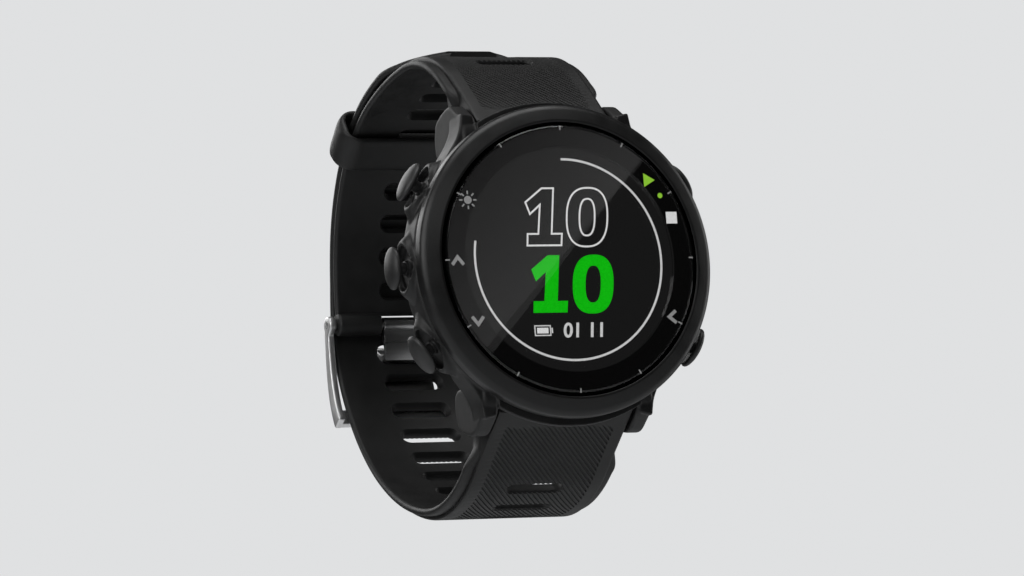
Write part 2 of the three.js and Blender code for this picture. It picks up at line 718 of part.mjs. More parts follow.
function buckleTongue() {
  const h = TONGUE.thick / 2;
  const root = -3;
  const crossEnd = 48;
  const steps = [0, 0.25, 0.5, 0.75, 1].map((t) => root + (crossEnd - root) * t);
  const outside = [[4.4, 2.5], [10.4, 2.8], [11.4, 3.75], [14.0, 3.8]];
  const outline = [
    fromBar(0.9, root - 30),
    fromBar(3.4, root - 8),
    ...steps.map((phi) => fromBar(TONGUE.crossR + h, phi)).slice(0, -1),
    ...outside.map(([s, offset]) => lowerPath.at(s, offset - h)),
    ...[...outside].reverse().map(([s, offset]) => lowerPath.at(s, offset + h)),
    ...[...steps].reverse().map((phi) => fromBar(TONGUE.crossR - h, phi)),
    fromBar(2.2, root + 10),
    fromBar(0.9, root + 35),
  ];
  const plate = sideways(outline, -TONGUE.half, TONGUE.half);
  const eye = rod(BUCKLE.eyeR, -TONGUE.half, TONGUE.half, BUCKLE.barY, BAND_START_Z, 14);
  return plate.add(eye).subtract(rod(BUCKLE.barR + 0.1, -6, 6, BUCKLE.barY, BAND_START_Z, 12));
}

// ---------- keeper ----------
function sector(r0, r1, from, to, x) {
  const { centre } = upperPath.pieces[1];
  const outline = [...arcPoints(centre, r1, from, to, 5), ...arcPoints(centre, r0, to, from, 5)];
  return sideways(outline, -x, x);
}

function keeper() {
  const bandR = UPPER_ARCS[1][1];
  const inside = { low: bandR - KEEPER.gap, high: bandR + TAIL_OFFSET + RAISED.thick + KEEPER.gap };
  const { centre, halfSpan, wall, gap } = KEEPER;
  const width = FLANGE.half + gap;
  const [from, to, beyond] = [centre - halfSpan, centre + halfSpan, 3];
  const block = sector(inside.low - 1.1, inside.high + wall, from, to, width + wall);
  return block.subtract(sector(inside.low, inside.high, from - beyond, to + beyond, width));
}

// ---------- assembly ----------
place('bezel', FINISH.bezel, bezel());
place('lens', FINISH.lens, lens());
place('lens_gasket', FINISH.gasket, lensGasket());
place('mid_case', FINISH.caseBlack, midCase());
place('case_back', FINISH.caseBack, caseBack());
place('case_back_gasket', FINISH.gasket, ring(17.5, 17.9, MID.seatY, -1.85));
place('sensor_window', FINISH.window, sensorWindow());
screwSpots().forEach((spot, i) => place(`case_screw_${i + 1}`, FINISH.screw, caseScrew(spot)));
contactSpots().forEach((x, i) => {
  place(`charge_contact_${i + 1}`, FINISH.gold, upright(PORT.pinR, -2.6, PORT.floorY + 0.15, x, PORT.z, 10));
});
innerPieces();
buttonSet();
place('upper_strap', FINISH.silicone, upperStrap());
place('lower_strap', FINISH.silicone, lowerStrap());
for (const [name, side] of [['upper', 1], ['lower', -1]]) {
  place(`${name}_spring_bar`, FINISH.steel, springBarBarrel(side));
  place(`${name}_release_pin`, FINISH.steel, releasePin(side));
}
place('buckle_bar', FINISH.steel, buckleBar());
place('buckle_frame', FINISH.steel, buckleFrame());
place('buckle_tongue', FINISH.steel, buckleTongue());
place('keeper', FINISH.silicone, keeper());

export default watch;
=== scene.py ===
import math

import bmesh
import bpy
from mathutils import Matrix, Vector


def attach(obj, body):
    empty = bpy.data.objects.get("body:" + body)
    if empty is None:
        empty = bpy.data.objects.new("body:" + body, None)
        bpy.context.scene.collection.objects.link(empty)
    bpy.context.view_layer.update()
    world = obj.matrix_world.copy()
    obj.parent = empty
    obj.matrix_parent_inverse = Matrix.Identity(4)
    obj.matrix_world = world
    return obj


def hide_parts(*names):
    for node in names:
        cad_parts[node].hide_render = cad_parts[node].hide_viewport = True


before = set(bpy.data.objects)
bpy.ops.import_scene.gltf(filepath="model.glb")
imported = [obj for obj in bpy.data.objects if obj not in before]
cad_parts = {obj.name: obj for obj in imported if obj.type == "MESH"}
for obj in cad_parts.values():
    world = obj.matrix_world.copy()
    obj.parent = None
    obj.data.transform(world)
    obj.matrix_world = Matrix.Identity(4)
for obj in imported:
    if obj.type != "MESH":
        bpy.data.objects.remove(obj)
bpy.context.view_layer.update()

# The watch axis is Y and the display faces -Y; +Z is 12 o'clock and +X is 3 o'clock.
# Shapes are worked out in millimetres and turned into metres when their mesh is made.
MM = 0.001

# ---------- driving dimensions: the CAD model's, but for the band's slots, which flare here ----------
LENS = {"front": -11.6, "back": -10.55, "r": 18.2, "print_r": 15.3, "shelf": -11.4}
DISPLAY_Y = -10.4
SPRING_BAR = {"y": -3.3, "z": 20.0, "r": 0.75, "bore_r": 0.85, "tip_r": 0.4, "tip_x": 11.3}
LUG = {"inner": 10.2, "outer": 12.4}
LIP = {"front": -7.8, "back": -6.9, "shift": 1.1, "r": 21.0}
RECESS_Z = 18.2
SCREW = {"circle_r": 15.9, "head_r": 1.3, "floor_y": -1.7, "head_h": 0.6, "shank_r": 0.65}
PORT = {"z": -11.6, "floor_y": -1.1, "pitch": 1.9, "pin_r": 0.45}
BUTTON_Y = -5.0
BUTTON_ANGLES = {"light": 149.5, "up": 180, "down": 210.5, "start": 29.5, "back": -29.5}
CAP = {"along": 5.8, "across": 4.6, "seat": 22.7, "crown": 24.0}
FLANGE = {"half": 11.2, "thick": 1.1}
RAISED = {"half": 9.9, "low": 0.5, "thick": 1.7}
SLOT = {"length": 8.2, "height": 1.8, "pitch": 4.8}
TONGUE_SLOT = {"length": 9.0, "height": 2.9}
BAND_START_Z = 0.5
UPPER_START_Y = 45.1
TAIL_OFFSET = 1.9
UPPER_ARCS = [(10.5, 44), (25.2, 24.6), (12.5, 50), (14.0, 17.2)]
LOWER_ARCS = [(8, 23), (35.5, 34), (16.5, 19.5)]
TAIL = {"length": 51.0, "half": 11.0}
BUCKLE = {"bar_y": 45.95, "bar_r": 0.6, "arm_in": 11.5, "arm_out": 12.5, "end_s": 14.0}
TONGUE = {"half": 4.0, "thick": 0.9, "cross_r": 4.7}
KEEPER = {
    "centre": 50,
    "half_span": 7.0,
    "in": (24.3, 28.5),
    "out": (23.2, 29.9),
    "half_in": 11.5,
    "half_out": 12.9,
}

# ---------- mesh tools ----------
ROUND = 192


def linked(name, data):
    """A new object of the scene with this data."""
    obj = bpy.data.objects.new(name, data)
    bpy.context.scene.collection.objects.link(obj)
    return obj


def new_object(name, verts, faces):
    """A mesh object from points in millimetres, its faces pointing out."""
    mesh = bpy.data.meshes.new(name)
    mesh.from_pydata([Vector(v) * MM for v in verts], [], faces)
    tidy = bmesh.new()
    tidy.from_mesh(mesh)
    bmesh.ops.remove_doubles(tidy, verts=tidy.verts, dist=1e-7)
    bmesh.ops.recalc_face_normals(tidy, faces=tidy.faces)
    tidy.to_mesh(mesh)
    tidy.free()
    return linked(name, mesh)


def final_mesh(obj):
    """The mesh of an object with its modifiers, or of a curve or text."""
    evaluated = obj.evaluated_get(bpy.context.evaluated_depsgraph_get())
    return bpy.data.meshes.new_from_object(evaluated)


def apply_modifiers(obj):
    mesh = final_mesh(obj)
    obj.modifiers.clear()
    obj.data = mesh
    return obj


def remove(obj):
    bpy.data.objects.remove(obj)


def join(objects):
    """One object that holds the meshes of them all; the first keeps its name."""
    first = objects[0]
    merged = bmesh.new()
    for obj in objects:
        merged.from_mesh(obj.data)
    merged.to_mesh(first.data)
    merged.free()
    for obj in objects[1:]:
        remove(obj)
    return first


def boolean(obj, tool, operation="DIFFERENCE"):
    modifier = obj.modifiers.new("boolean", "BOOLEAN")
    modifier.object = tool
    modifier.operation = operation
    modifier.solver = "MANIFOLD"
    apply_modifiers(obj)
    remove(tool)
    return obj


def bevel(obj, width, segments=3, angle=35):
    modifier = obj.modifiers.new("bevel", "BEVEL")
    modifier.width = width * MM
    modifier.segments = segments
    modifier.limit_method = "ANGLE"
    modifier.angle_limit = math.radians(angle)
    return apply_modifiers(obj)


def melt(obj, voxel, passes):
    """Joins overlapping shells into one skin and softens its edges, as a moulding has them."""
    remesh = obj.modifiers.new("remesh", "REMESH")
    remesh.mode = "VOXEL"
    remesh.voxel_size = voxel * MM
    smooth = obj.modifiers.new("smooth", "SMOOTH")
    smooth.factor = 0.5
    smooth.iterations = passes
    return apply_modifiers(obj)


def shade(obj, angle=32):
    for polygon in obj.data.polygons:
        polygon.use_smooth = True
    obj.data.set_sharp_from_angle(angle=math.radians(angle))
    return obj


def rounded(corners, steps=4):
    """An outline's corners (a, b, radius) softened into short curves.

    A corner without a radius stays sharp.
    """
    points = []
    for i, corner in enumerate(corners):
        here = Vector(corner[:2])
        radius = corner[2] if len(corner) > 2 else 0
        if not radius:
            points.append(tuple(here))
            continue
        before = Vector(corners[i - 1][:2]) - here
        after = Vector(corners[(i + 1) % len(corners)][:2]) - here
        reach = min(radius, before.length * 0.48, after.length * 0.48)
        start = here + before.normalized() * reach
        end = here + after.normalized() * reach
        for k in range(steps + 1):
            t = k / steps
            points.append(tuple(start.lerp(here, t).lerp(here.lerp(end, t), t)))
    return points


def lathe(name, profile, steps=ROUND):
    """A body of revolution about the watch axis from a closed profile of (radius, y) points."""
    verts = []
    rings = []
    for r, y in profile:
        count = 1 if r < 1e-6 else steps
        rings.append(range(len(verts), len(verts) + count))
        for i in range(count):
            a = 2 * math.pi * i / steps
            verts.append((r * math.cos(a), y, r * math.sin(a)))
    faces = []
    for low, high in zip(rings, rings[1:] + rings[:1]):
        if len(low) == 1 and len(high) == 1:
            continue
        for i in range(steps):
            j = (i + 1) % steps
            quad = [low[i % len(low)], low[j % len(low)], high[j % len(high)], high[i % len(high)]]
            faces.append(list(dict.fromkeys(quad)))
    return new_object(name, verts, faces)


def loft(name, rings, closed=False):
    """A skin over closed rings of equal count, capped at both ends or closed on itself."""
    count = len(rings[0])
    verts = [point for ring in rings for point in ring]
    last = len(rings) if closed else len(rings) - 1
    faces = []
    for k in range(last):
        low = k * count
        high = ((k + 1) % len(rings)) * count
        for i in range(count):
            j = (i + 1) % count
            faces.append([low + i, low + j, high + j, high + i])
    if not closed:
        faces.append(list(range(count)))
        faces.append([last * count + i for i in range(count)])
    return new_object(name, verts, faces)


def prism(name, outline, x0, x1):
    """A (y, z) outline carried along X."""
    return loft(name, [[(x, y, z) for y, z in outline] for x in (x0, x1)])


def box(name, low, high):
    (x0, y0, z0), (x1, y1, z1) = low, high
    return prism(name, [(y0, z0), (y1, z0), (y1, z1), (y0, z1)], x0, x1)


def circle(centre, r, steps):
    angles = [2 * math.pi * i / steps for i in range(steps)]
    return [(centre[0] + r * math.cos(a), centre[1] + r * math.sin(a)) for a in angles]


def rod(name, r, x0, x1, y, z, steps=48):
    return prism(name, circle((y, z), r, steps), x0, x1)


def turned_rod(name, profile, y, z, steps=48):
    """A rod along X whose (x, radius) profile changes along its length."""
    rings = [[(x, py, pz) for py, pz in circle((y, z), r, steps)] for x, r in profile]
    return loft(name, rings)


def upright(name, r, y0, y1, x, z, steps=48):
    """A rod along the watch axis."""
    return loft(name, [[(px, y, pz) for px, pz in circle((x, z), r, steps)] for y in (y0, y1)])


def turn(obj, degrees):
    """Turns a piece made along +X to its clock angle."""
    obj.data.transform(Matrix.Rotation(math.radians(-degrees), 4, "Y"))
    return obj


def oval_rings(stations, steps):
    """Ovals across +X: each station is (x, length along the case, width across it)."""
    rings = []
    for x, along, across in stations:
        angles = [2 * math.pi * i / steps for i in range(steps)]
        rings.append([
            (x, BUTTON_Y + across / 2 * math.cos(a), along / 2 * math.sin(a)) for a in angles
        ])
    return rings


# ---------- materials ----------
class Nodes:
    """A material's node tree, with the few nodes that every finish here uses."""

    def __init__(self, name):
        self.material = bpy.data.materials.new(name)
        self.material.use_nodes = True
        self.tree = self.material.node_tree
        self.shader = self.tree.nodes["Principled BSDF"]
        self.place = self.tree.nodes.new("ShaderNodeTexCoord").outputs["Object"]

    def link(self, source, target):
        self.tree.links.new(source, target)

    def feed(self, socket, source):
        self.link(source, self.shader.inputs[socket])

    def stretched(self, scale):
        mapping = self.tree.nodes.new("ShaderNodeMapping")
        mapping.inputs["Scale"].default_value = [s / MM for s in scale]
        self.link(self.place, mapping.inputs["Vector"])
        return mapping.outputs["Vector"]

    def noise(self, scale, detail=3):
        """Noise with about so many features to the millimetre along each axis."""
        noise = self.tree.nodes.new("ShaderNodeTexNoise")
        noise.inputs["Scale"].default_value = 1
        noise.inputs["Detail"].default_value = detail
        self.link(self.stretched(scale), noise.inputs["Vector"])
        return noise.outputs["Fac"]

    def spread(self, value, low, high, start=0.3, end=0.7):
        """value from start to end becomes low to high."""
        node = self.tree.nodes.new("ShaderNodeMapRange")
        node.inputs["From Min"].default_value = start
        node.inputs["From Max"].default_value = end
        node.inputs["To Min"].default_value = low
        node.inputs["To Max"].default_value = high
        self.link(value, node.inputs["Value"])
        return node.outputs["Result"]

    def colours(self, value, stops):
        ramp = self.tree.nodes.new("ShaderNodeValToRGB")
        while len(ramp.color_ramp.elements) < len(stops):
            ramp.color_ramp.elements.new(0.5)
        for element, (position, colour) in zip(ramp.color_ramp.elements, stops):
            element.position = position
            element.color = (*colour, 1)
        self.link(value, ramp.inputs["Fac"])
        return ramp.outputs["Color"]

    def bump(self, height, distance, strength=1.0):
        node = self.tree.nodes.new("ShaderNodeBump")
        node.inputs["Strength"].default_value = strength
        node.inputs["Distance"].default_value = distance * MM
        self.link(height, node.inputs["Height"])
        self.feed("Normal", node.outputs["Normal"])

    def set(self, **values):
        for name, value in values.items():
            self.shader.inputs[name.replace("_", " ")].default_value = value


def grey(level):
    return (level, level, level)


def moulded(name, dark, light, roughness, grain=6.0, depth=0.012, specular=0.5):
    """Moulded plastic or rubber: a fine grain, a faint mottle and uneven polish."""
    nodes = Nodes(name)
    mottle = nodes.noise((0.35, 0.35, 0.35), 4)
    fine = nodes.noise((grain, grain, grain), 2)
    nodes.feed("Base Color", nodes.colours(mottle, [(0.3, dark), (0.7, light)]))
    nodes.feed("Roughness", nodes.spread(mottle, roughness - 0.05, roughness + 0.06))
    nodes.bump(fine, depth)
    nodes.set(Specular_IOR_Level=specular)
    return nodes.material


def brushed(name, dark, light, roughness, scale, depth=0.004):
    """Metal with hairlines: the noise is long along the axis with the smallest scale."""
    nodes = Nodes(name)
    lines = nodes.noise(scale, 2)
    nodes.feed("Base Color", nodes.colours(lines, [(0.3, dark), (0.7, light)]))
    nodes.feed("Roughness", nodes.spread(lines, roughness - 0.03, roughness + 0.03))
    nodes.bump(lines, depth)
    nodes.set(Metallic=1.0)
    return nodes.material


def glowing(name, dark, light, strength=1.0):
    """A lit mark of the display, or a printed mark whose glow is painted light in place of lamp light, with
    the faint grain of its dots.
    """
    nodes = Nodes(name)
    dots = nodes.noise((7.0, 7.0, 7.0), 1)
    nodes.feed("Emission Color", nodes.colours(dots, [(0.35, dark), (0.65, light)]))
    nodes.set(Base_Color=(0, 0, 0, 1), Roughness=0.6, Specular_IOR_Level=0.0, Emission_Strength=strength)
    return nodes.material


def clear_glass(name):
    """Hardened glass with the faintest smear on its polish."""
    nodes = Nodes(name)
    smear = nodes.noise((0.12, 0.12, 0.12), 3)
    nodes.feed("Roughness", nodes.spread(smear, 0.0, 0.02, 0.45, 0.75))
    nodes.set(Base_Color=(1, 1, 1, 1), Transmission_Weight=1.0, IOR=1.5)
    return nodes.material


def circuit(name):
    """A green board with paler copper under its lacquer."""
    nodes = Nodes(name)
    traces = nodes.noise((1.6, 0.2, 0.5), 1)
    copper = nodes.colours(traces, [(0.48, (0.004, 0.045, 0.02)), (0.52, (0.012, 0.085, 0.04))])
    nodes.feed("Base Color", copper)
    nodes.feed("Roughness", nodes.spread(traces, 0.35, 0.5))
    nodes.bump(traces, 0.02)
    return nodes.material


FINISH = {
    "bezel": moulded("satin_bezel", grey(0.0075), grey(0.011), 0.36, 9.0, 0.006),
    "case": moulded("matte_case", grey(0.011), grey(0.016), 0.5, 7.0, 0.012),
    "back": moulded("case_back_polymer", grey(0.012), grey(0.017), 0.46, 7.0, 0.01),
    "cap": moulded("button_cap", grey(0.021), grey(0.028), 0.42, 8.0, 0.008),
    "silicone": moulded("black_silicone", grey(0.0105), grey(0.0145), 0.5, 5.0, 0.014, 0.45),
    "gasket": moulded("black_gasket", grey(0.004), grey(0.006), 0.7),
    "panel": glowing("display_black", grey(0.0004), grey(0.0008), 0.2),
    "window": moulded("dark_window", grey(0.0015), grey(0.0025), 0.12, 1.0, 0.001),
    "housing": moulded("inner_housing", grey(0.02), grey(0.03), 0.6),
    "steel": brushed("brushed_steel", grey(0.58), grey(0.61), 0.3, (0.12, 5.0, 5.0), 0.00002),
    # A lighter copy of the steel for the buckle frame: painted highlight for the glare of the left light on
    # it.
    "steel_painted_highlight": brushed("lighter_steel_painted_highlight", grey(0.84), grey(0.9), 0.42, (3.0, 5.0, 0.4), 0.0004),
    "screw": brushed("screw_steel", grey(0.36), grey(0.5), 0.3, (4.0, 4.0, 4.0)),
    "gold": brushed("gold_contact", (0.75, 0.5, 0.19), (0.9, 0.64, 0.28), 0.25, (5.0, 5.0, 5.0)),
    "foil": brushed("battery_foil", grey(0.4), grey(0.55), 0.4, (1.0, 1.0, 0.3)),
    "antenna": brushed("antenna_copper", (0.5, 0.25, 0.1), (0.62, 0.34, 0.15), 0.35, (1.0, 6.0, 6.0)),
    "board": circuit("circuit_board"),
    "glass": clear_glass("lens_glass"),
    "white": glowing("display_white", grey(0.62), grey(0.72)),
    "pale": glowing("display_pale", grey(0.5), grey(0.6)),
    "green": glowing("display_green", (0.002, 0.42, 0.002), (0.004, 0.5, 0.004)),
    # The printed ticks and signs glow: painted light in place of the lamp light on their print.
    "print_painted_glow": glowing("printed_grey_painted_glow", grey(0.2), grey(0.25)),
    "mask": glowing("printed_black", grey(0.0006), grey(0.001), 0.2),
    "white_print_painted_glow": glowing("printed_white_painted_glow", grey(0.6), grey(0.7)),
    "green_print_painted_glow": glowing("printed_green_painted_glow", (0.22, 0.48, 0.03), (0.26, 0.55, 0.04)),
    "field": glowing("display_field", grey(0.006), grey(0.0075)),
}


def piece(obj, finish, body, slot, *nodes):
    """Gives a made piece its finish and its body, and hides the CAD nodes that it stands for; slot is not
    used.
    """
    obj.data.materials.clear()
    obj.data.materials.append(FINISH[finish])
    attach(obj, body)
    if nodes:
        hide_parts(*nodes)
    return obj


def keep_node(name, finish):
    """A CAD node that stays as it is, with a finish of its own."""
    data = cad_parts[name].data
    data.materials.clear()
    data.materials.append(FINISH[finish])


# ---------- case ----------
def bezel():
    profile = rounded([
        (17.6, -7.8), (17.6, -10.2), (18.65, -10.2), (18.65, -11.5, 0.1), (18.95, -11.6, 0.12),
        (20.75, -10.85, 0.5), (21.3, -10.25, 0.5), (21.3, -8.5, 0.4), (20.7, -7.8, 0.15),
    ], 6)
    piece(shade(lathe("bezel_ring", profile, 256)), "bezel", "watch", "bezel", "bezel")


def lens():
    r = LENS["r"]
    rim, shelf = LENS["print_r"], LENS["shelf"]
    profile = [(0, LENS["front"])] + rounded([
        (r - 0.3, LENS["front"], 0.1), (r, shelf), (rim, shelf), (rim, LENS["back"]), (0, LENS["back"]),
    ])
    piece(shade(lathe("lens_glass", profile, 256)), "glass", "watch", "lens", "lens")


def screw_spots():
    angles = [math.radians(a) for a in (45, 135, 225, 315)]
    return [(SCREW["circle_r"] * math.cos(a), SCREW["circle_r"] * math.sin(a)) for a in angles]


def lug_blocks(side):
    """The pair of lugs at 12 o'clock (side 1) or 6 o'clock (side -1), with a chamfered outer edge."""
    corners = [
        (-7.45, 11.5), (-7.45, 18.4, 1.0), (-6.6, 20.4, 0.8), (-3.0, 22.65, 1.2), (0.0, 22.0, 1.2),
        (2.2, 20.9, 0.8), (2.9, 18.6, 0.8), (2.7, 16.4, 0.6), (1.6, 15.6, 0.3), (-2.6, 15.6), (-2.6, 11.5),
    ]
    outline = [(y, side * z) for y, z in rounded(corners)]
    blocks = []
    for hand in (-1, 1):
        near, far = sorted((hand * LUG["inner"], hand * LUG["outer"]))
        blocks.append(bevel(prism("lug", outline, near, far), 0.35, 2))
    return blocks


def flanks(side):
    """The webs that fair the lugs' outer faces into the round of the case."""
    corners = [
        (10.6, 15.0), (10.6, 20.4), (12.35, 20.8, 0.3), (12.7, 18.6, 1.5), (13.5, 16.9, 1.5), (15.2, 14.5),
        (13.4, 14.0),
    ]
    webs = []
    for hand in (-1, 1):
        rings = [[(hand * x, y, side * z) for x, z in rounded(corners)] for y in (-7.1, -3.0)]
        webs.append(bevel(loft("flank", rings), 0.35, 2))
    return webs


def guard(degrees):
    """The flared guard round a button stem."""
    stations = [(18.4, 12.6, 5.0), (20.4, 10.2, 5.0), (20.9, 8.9, 4.9), (21.5, 7.9, 4.7), (21.8, 7.2, 4.4)]
    return turn(loft("guard", oval_rings(stations, 48)), degrees)


def lip(side):
    """The thin crescent of the case that reaches out under the bezel over the band's end."""
    r, shift = LIP["r"], side * LIP["shift"]
    reach = LUG["inner"] + 0.3
    arc = [reach - 2 * reach * i / 24 for i in range(25)]
    outer = [(x, shift + side * math.sqrt(r * r - x * x)) for x in arc]
    inner = [(x, side * 17.6) for x in reversed(arc)]
    rings = [[(x, y, z) for x, z in outer + inner] for y in (LIP["front"], LIP["back"])]
    return loft("lip", rings)


def case_tools():
    """What is cut out before the edges are softened: stem bores, cap pockets and band recesses."""
    tools = []
    for degrees in BUTTON_ANGLES.values():
        pocket = [(20.9, 6.1, 4.5), (21.5, 6.2, 4.7), (24.0, 6.4, 5.4)]
        bore = [(15.0, 2.0, 2.0), (21.5, 2.0, 2.0)]
        tools.append(turn(loft("pocket", oval_rings(pocket, 40)), degrees))
        tools.append(turn(loft("bore", oval_rings(bore, 24)), degrees))
    for side in (-1, 1):
        near, far = sorted((side * RECESS_Z, side * 26.0))
        tools.append(box("recess", (-LUG["inner"], LIP["back"], near), (LUG["inner"], 4.0, far)))
    return join(tools)


def mid_case():
    shell = lathe("mid_case_body", rounded([
        (17.4, -7.8), (20.45, -7.8, 0.1), (21.0, -7.35, 0.3), (21.0, -3.4, 0.8), (20.3, -2.1, 0.5),
        (19.3, -1.4, 0.2), (18.5, -1.4), (18.5, -2.2), (17.4, -2.2),
    ]))
    bosses = [upright("boss", 1.9, -5.6, -2.2, x, z, 32) for x, z in screw_spots()]
    guards = [guard(degrees) for degrees in BUTTON_ANGLES.values()]
    lugs = [block for side in (-1, 1) for block in lug_blocks(side) + flanks(side)]
    parts = [shell, *bosses, *lugs, *guards, lip(1), lip(-1)]
    body = boolean(join(parts), case_tools())
    inside = lathe("inside", [(0, -7.9), (17.38, -7.9), (17.38, -5.7), (0, -5.7)])
    body = boolean(body, inside)
    body = melt(body, 0.13, 5)
    for side in (-1, 1):
        body = boolean(body, rod("bar_hole", 0.55, -11.6, 11.6, SPRING_BAR["y"], side * SPRING_BAR["z"], 24))
    piece(shade(body, 60), "case", "watch", "case", "mid_case")


def case_back():
    plate = lathe("case_back_plate", rounded([
        (9.2, -0.5, 0.12), (14.5, -0.5, 0.4), (17.6, -1.4, 0.3), (18.35, -1.4, 0.1), (18.35, -2.2),
        (17.95, -2.2), (17.95, -1.8), (17.45, -1.8), (17.45, -2.2), (8.2, -2.2), (8.2, -1.2), (9.2, -1.2),
    ]), 256)
    tools = []
    for x, z in screw_spots():
        tools.append(upright("head_pocket", 1.5, SCREW["floor_y"], 1.0, x, z))
        tools.append(upright("shank_hole", SCREW["shank_r"] + 0.1, -3.0, -1.5, x, z, 24))
    port = rounded([(-4.5, -1.3, 1.3), (4.5, -1.3, 1.3), (4.5, 1.3, 1.3), (-4.5, 1.3, 1.3)], 8)
    rings = []
    for y, grow in ((PORT["floor_y"], 1.0), (-0.8, 1.0), (0.5, 1.12)):
        rings.append([(x * grow, y, PORT["z"] + z * grow) for x, z in port])
    tools.append(loft("port", rings))
    for step in (-3, -1, 1, 3):
        x = step * PORT["pitch"] / 2
        tools.append(upright("pin_hole", PORT["pin_r"] + 0.05, -3.0, -1.0, x, PORT["z"], 24))
    back = boolean(plate, join(tools))
    piece(shade(back), "back", "watch", "case_back", "case_back")


def sensor_window():
    profile = [(0, -1.2)] + rounded([(9.0, -1.2), (9.0, -0.35, 0.3), (8.4, 0.0, 0.6), (0, 0)], 6)
    piece(shade(lathe("sensor_window_glass", profile)), "window", "watch", "window", "sensor_window")


def case_screws():
    for i, (x, z) in enumerate(screw_spots(), 1):
        top = SCREW["floor_y"] + SCREW["head_h"]
        head = bevel(upright(f"screw_{i}", SCREW["head_r"], SCREW["floor_y"], top, x, z), 0.12, 2)
        shank = upright("shank", SCREW["shank_r"], SCREW["floor_y"] - 3.2, SCREW["floor_y"] + 0.1, x, z, 24)
        star = []
        for k in range(24):
            a = 2 * math.pi * k / 24
            r = 0.62 + 0.1 * math.cos(6 * a)
            star.append((x + r * math.cos(a), z + r * math.sin(a)))
        socket = loft("socket", [[(px, y, pz) for px, pz in star] for y in (top - 0.4, top + 0.4)])
        screw = boolean(join([head, shank]), socket)
        piece(shade(screw), "screw", "watch", "screw", f"case_screw_{i}")


def charge_contacts():
    for i, step in enumerate((-3, -1, 1, 3), 1):
        x = step * PORT["pitch"] / 2
        pin = upright(f"contact_{i}", PORT["pin_r"], -2.6, PORT["floor_y"] + 0.15, x, PORT["z"], 32)
        piece(shade(bevel(pin, 0.08, 2)), "gold", "watch", "gold", f"charge_contact_{i}")


def buttons():
    seat, crown = CAP["seat"], CAP["crown"]
    profile = [
        (seat, 0.84), (seat + 0.03, 0.9), (seat + 0.14, 0.965), (seat + 0.3, 0.995), (seat + 0.46, 0.995),
        (seat + 0.62, 0.965), (seat + 0.8, 0.88), (seat + 0.98, 0.74), (seat + 1.14, 0.55),
        (seat + 1.24, 0.35), (crown - 0.01, 0.16),
    ]
    stem = [(16.3, 0.8), (16.8, 0.8), (16.85, 0.5), (17.25, 0.5), (17.3, 0.8), (18.5, 0.8), (18.55, 0.5),
            (19.35, 0.5), (19.4, 0.8), (22.9, 0.8)]
    for name, degrees in BUTTON_ANGLES.items():
        stations = [(x, CAP["along"] * r, CAP["across"] * r) for x, r in profile]
        cap = turn(loft(f"cap_{name}", oval_rings(stations, 64)), degrees)
        piece(shade(cap, 50), "cap", f"button_{name}", "button", f"button_{name}")
        post = turn(turned_rod(f"stem_{name}", stem, BUTTON_Y, 0.0, 32), degrees)
        piece(shade(post), "cap", f"button_{name}", "steel")


# ---------- band ----------
def band_path(start, heading, turn_sign, arcs):
    """A chain of tangent arcs in the (y, z) plane; returns the point at a distance, moved outwards."""
    pieces = []
    y, z = start
    s = 0.0
    for length, r in arcs:
        centre = (y - turn_sign * r * math.sin(heading), z + turn_sign * r * math.cos(heading))
        pieces.append((s, r, heading, centre))
        heading += turn_sign * length / r
        y = centre[0] + turn_sign * r * math.sin(heading)
        z = centre[1] - turn_sign * r * math.cos(heading)
        s += length

    def frame_at(distance):
        s0, r, h, centre = max((p for p in pieces if p[0] <= distance), default=pieces[0])
        return r, h + turn_sign * (distance - s0) / r, centre

    def point(distance, offset=0.0):
        r, angle, centre = frame_at(distance)
        reach = turn_sign * (r + offset)
        return Vector((centre[0] + reach * math.sin(angle), centre[1] - reach * math.cos(angle)))

    return point, s


UP = math.pi / 2
tail_arcs = [(length * (1 + TAIL_OFFSET / r), r + TAIL_OFFSET) for length, r in UPPER_ARCS]
upper_point, UPPER_END = band_path((UPPER_START_Y, BAND_START_Z), UP, 1, UPPER_ARCS)
tail_point, _ = band_path((UPPER_START_Y + TAIL_OFFSET, BAND_START_Z), UP, 1, tail_arcs)
down_point, LOWER_END = band_path((UPPER_START_Y + TAIL_OFFSET, BAND_START_Z), -UP, -1, LOWER_ARCS)


def lower_point(distance, offset=0.0):
    """The 6 o'clock half: the tail outside the other half has distances below 0."""
    if distance < 0:
        return tail_point(-distance, offset)
    return down_point(distance, offset)


def tail_half(distance):
    """The tail's half width; its last 9 mm close to a blunt tip."""
    to_tip = TAIL["length"] + distance
    if distance >= 0:
        return FLANGE["half"]
    blend = min(1.0, -distance / 6)
    half = FLANGE["half"] + (TAIL["half"] - FLANGE["half"]) * blend
    return half if to_tip > 9 else half - 7.5 * (1 - to_tip / 9) ** 2


# The shoulder that reaches under the case between the lugs: inner y, z, outer y, z and half width.
LOWER_SHOULDER = [
    (3.5, -22.8, 0.3, -23.9, 10.1), (3.3, -20.8, -1.0, -21.8, 10.1), (3.1, -18.6, -1.1, -19.4, 10.1),
    (2.8, -16.4, -0.4, -16.9, 10.1), (1.7, -14.3, -0.2, -14.6, 10.1), (0.7, -13.7, -0.1, -13.9, 10.1),
]
UPPER_SHOULDER = [
    (0.7, 24.4, -0.6, 24.9, 11.1), (1.5, 22.2, -1.5, 23.0, 10.1), (2.7, 20.2, -1.1, 21.4, 10.1),
    (3.1, 18.2, -1.1, 19.2, 10.1), (2.8, 16.2, -0.4, 16.9, 10.1), (1.7, 14.3, -0.2, 14.6, 10.1),
    (0.7, 13.7, -0.1, 13.9, 10.1),
]


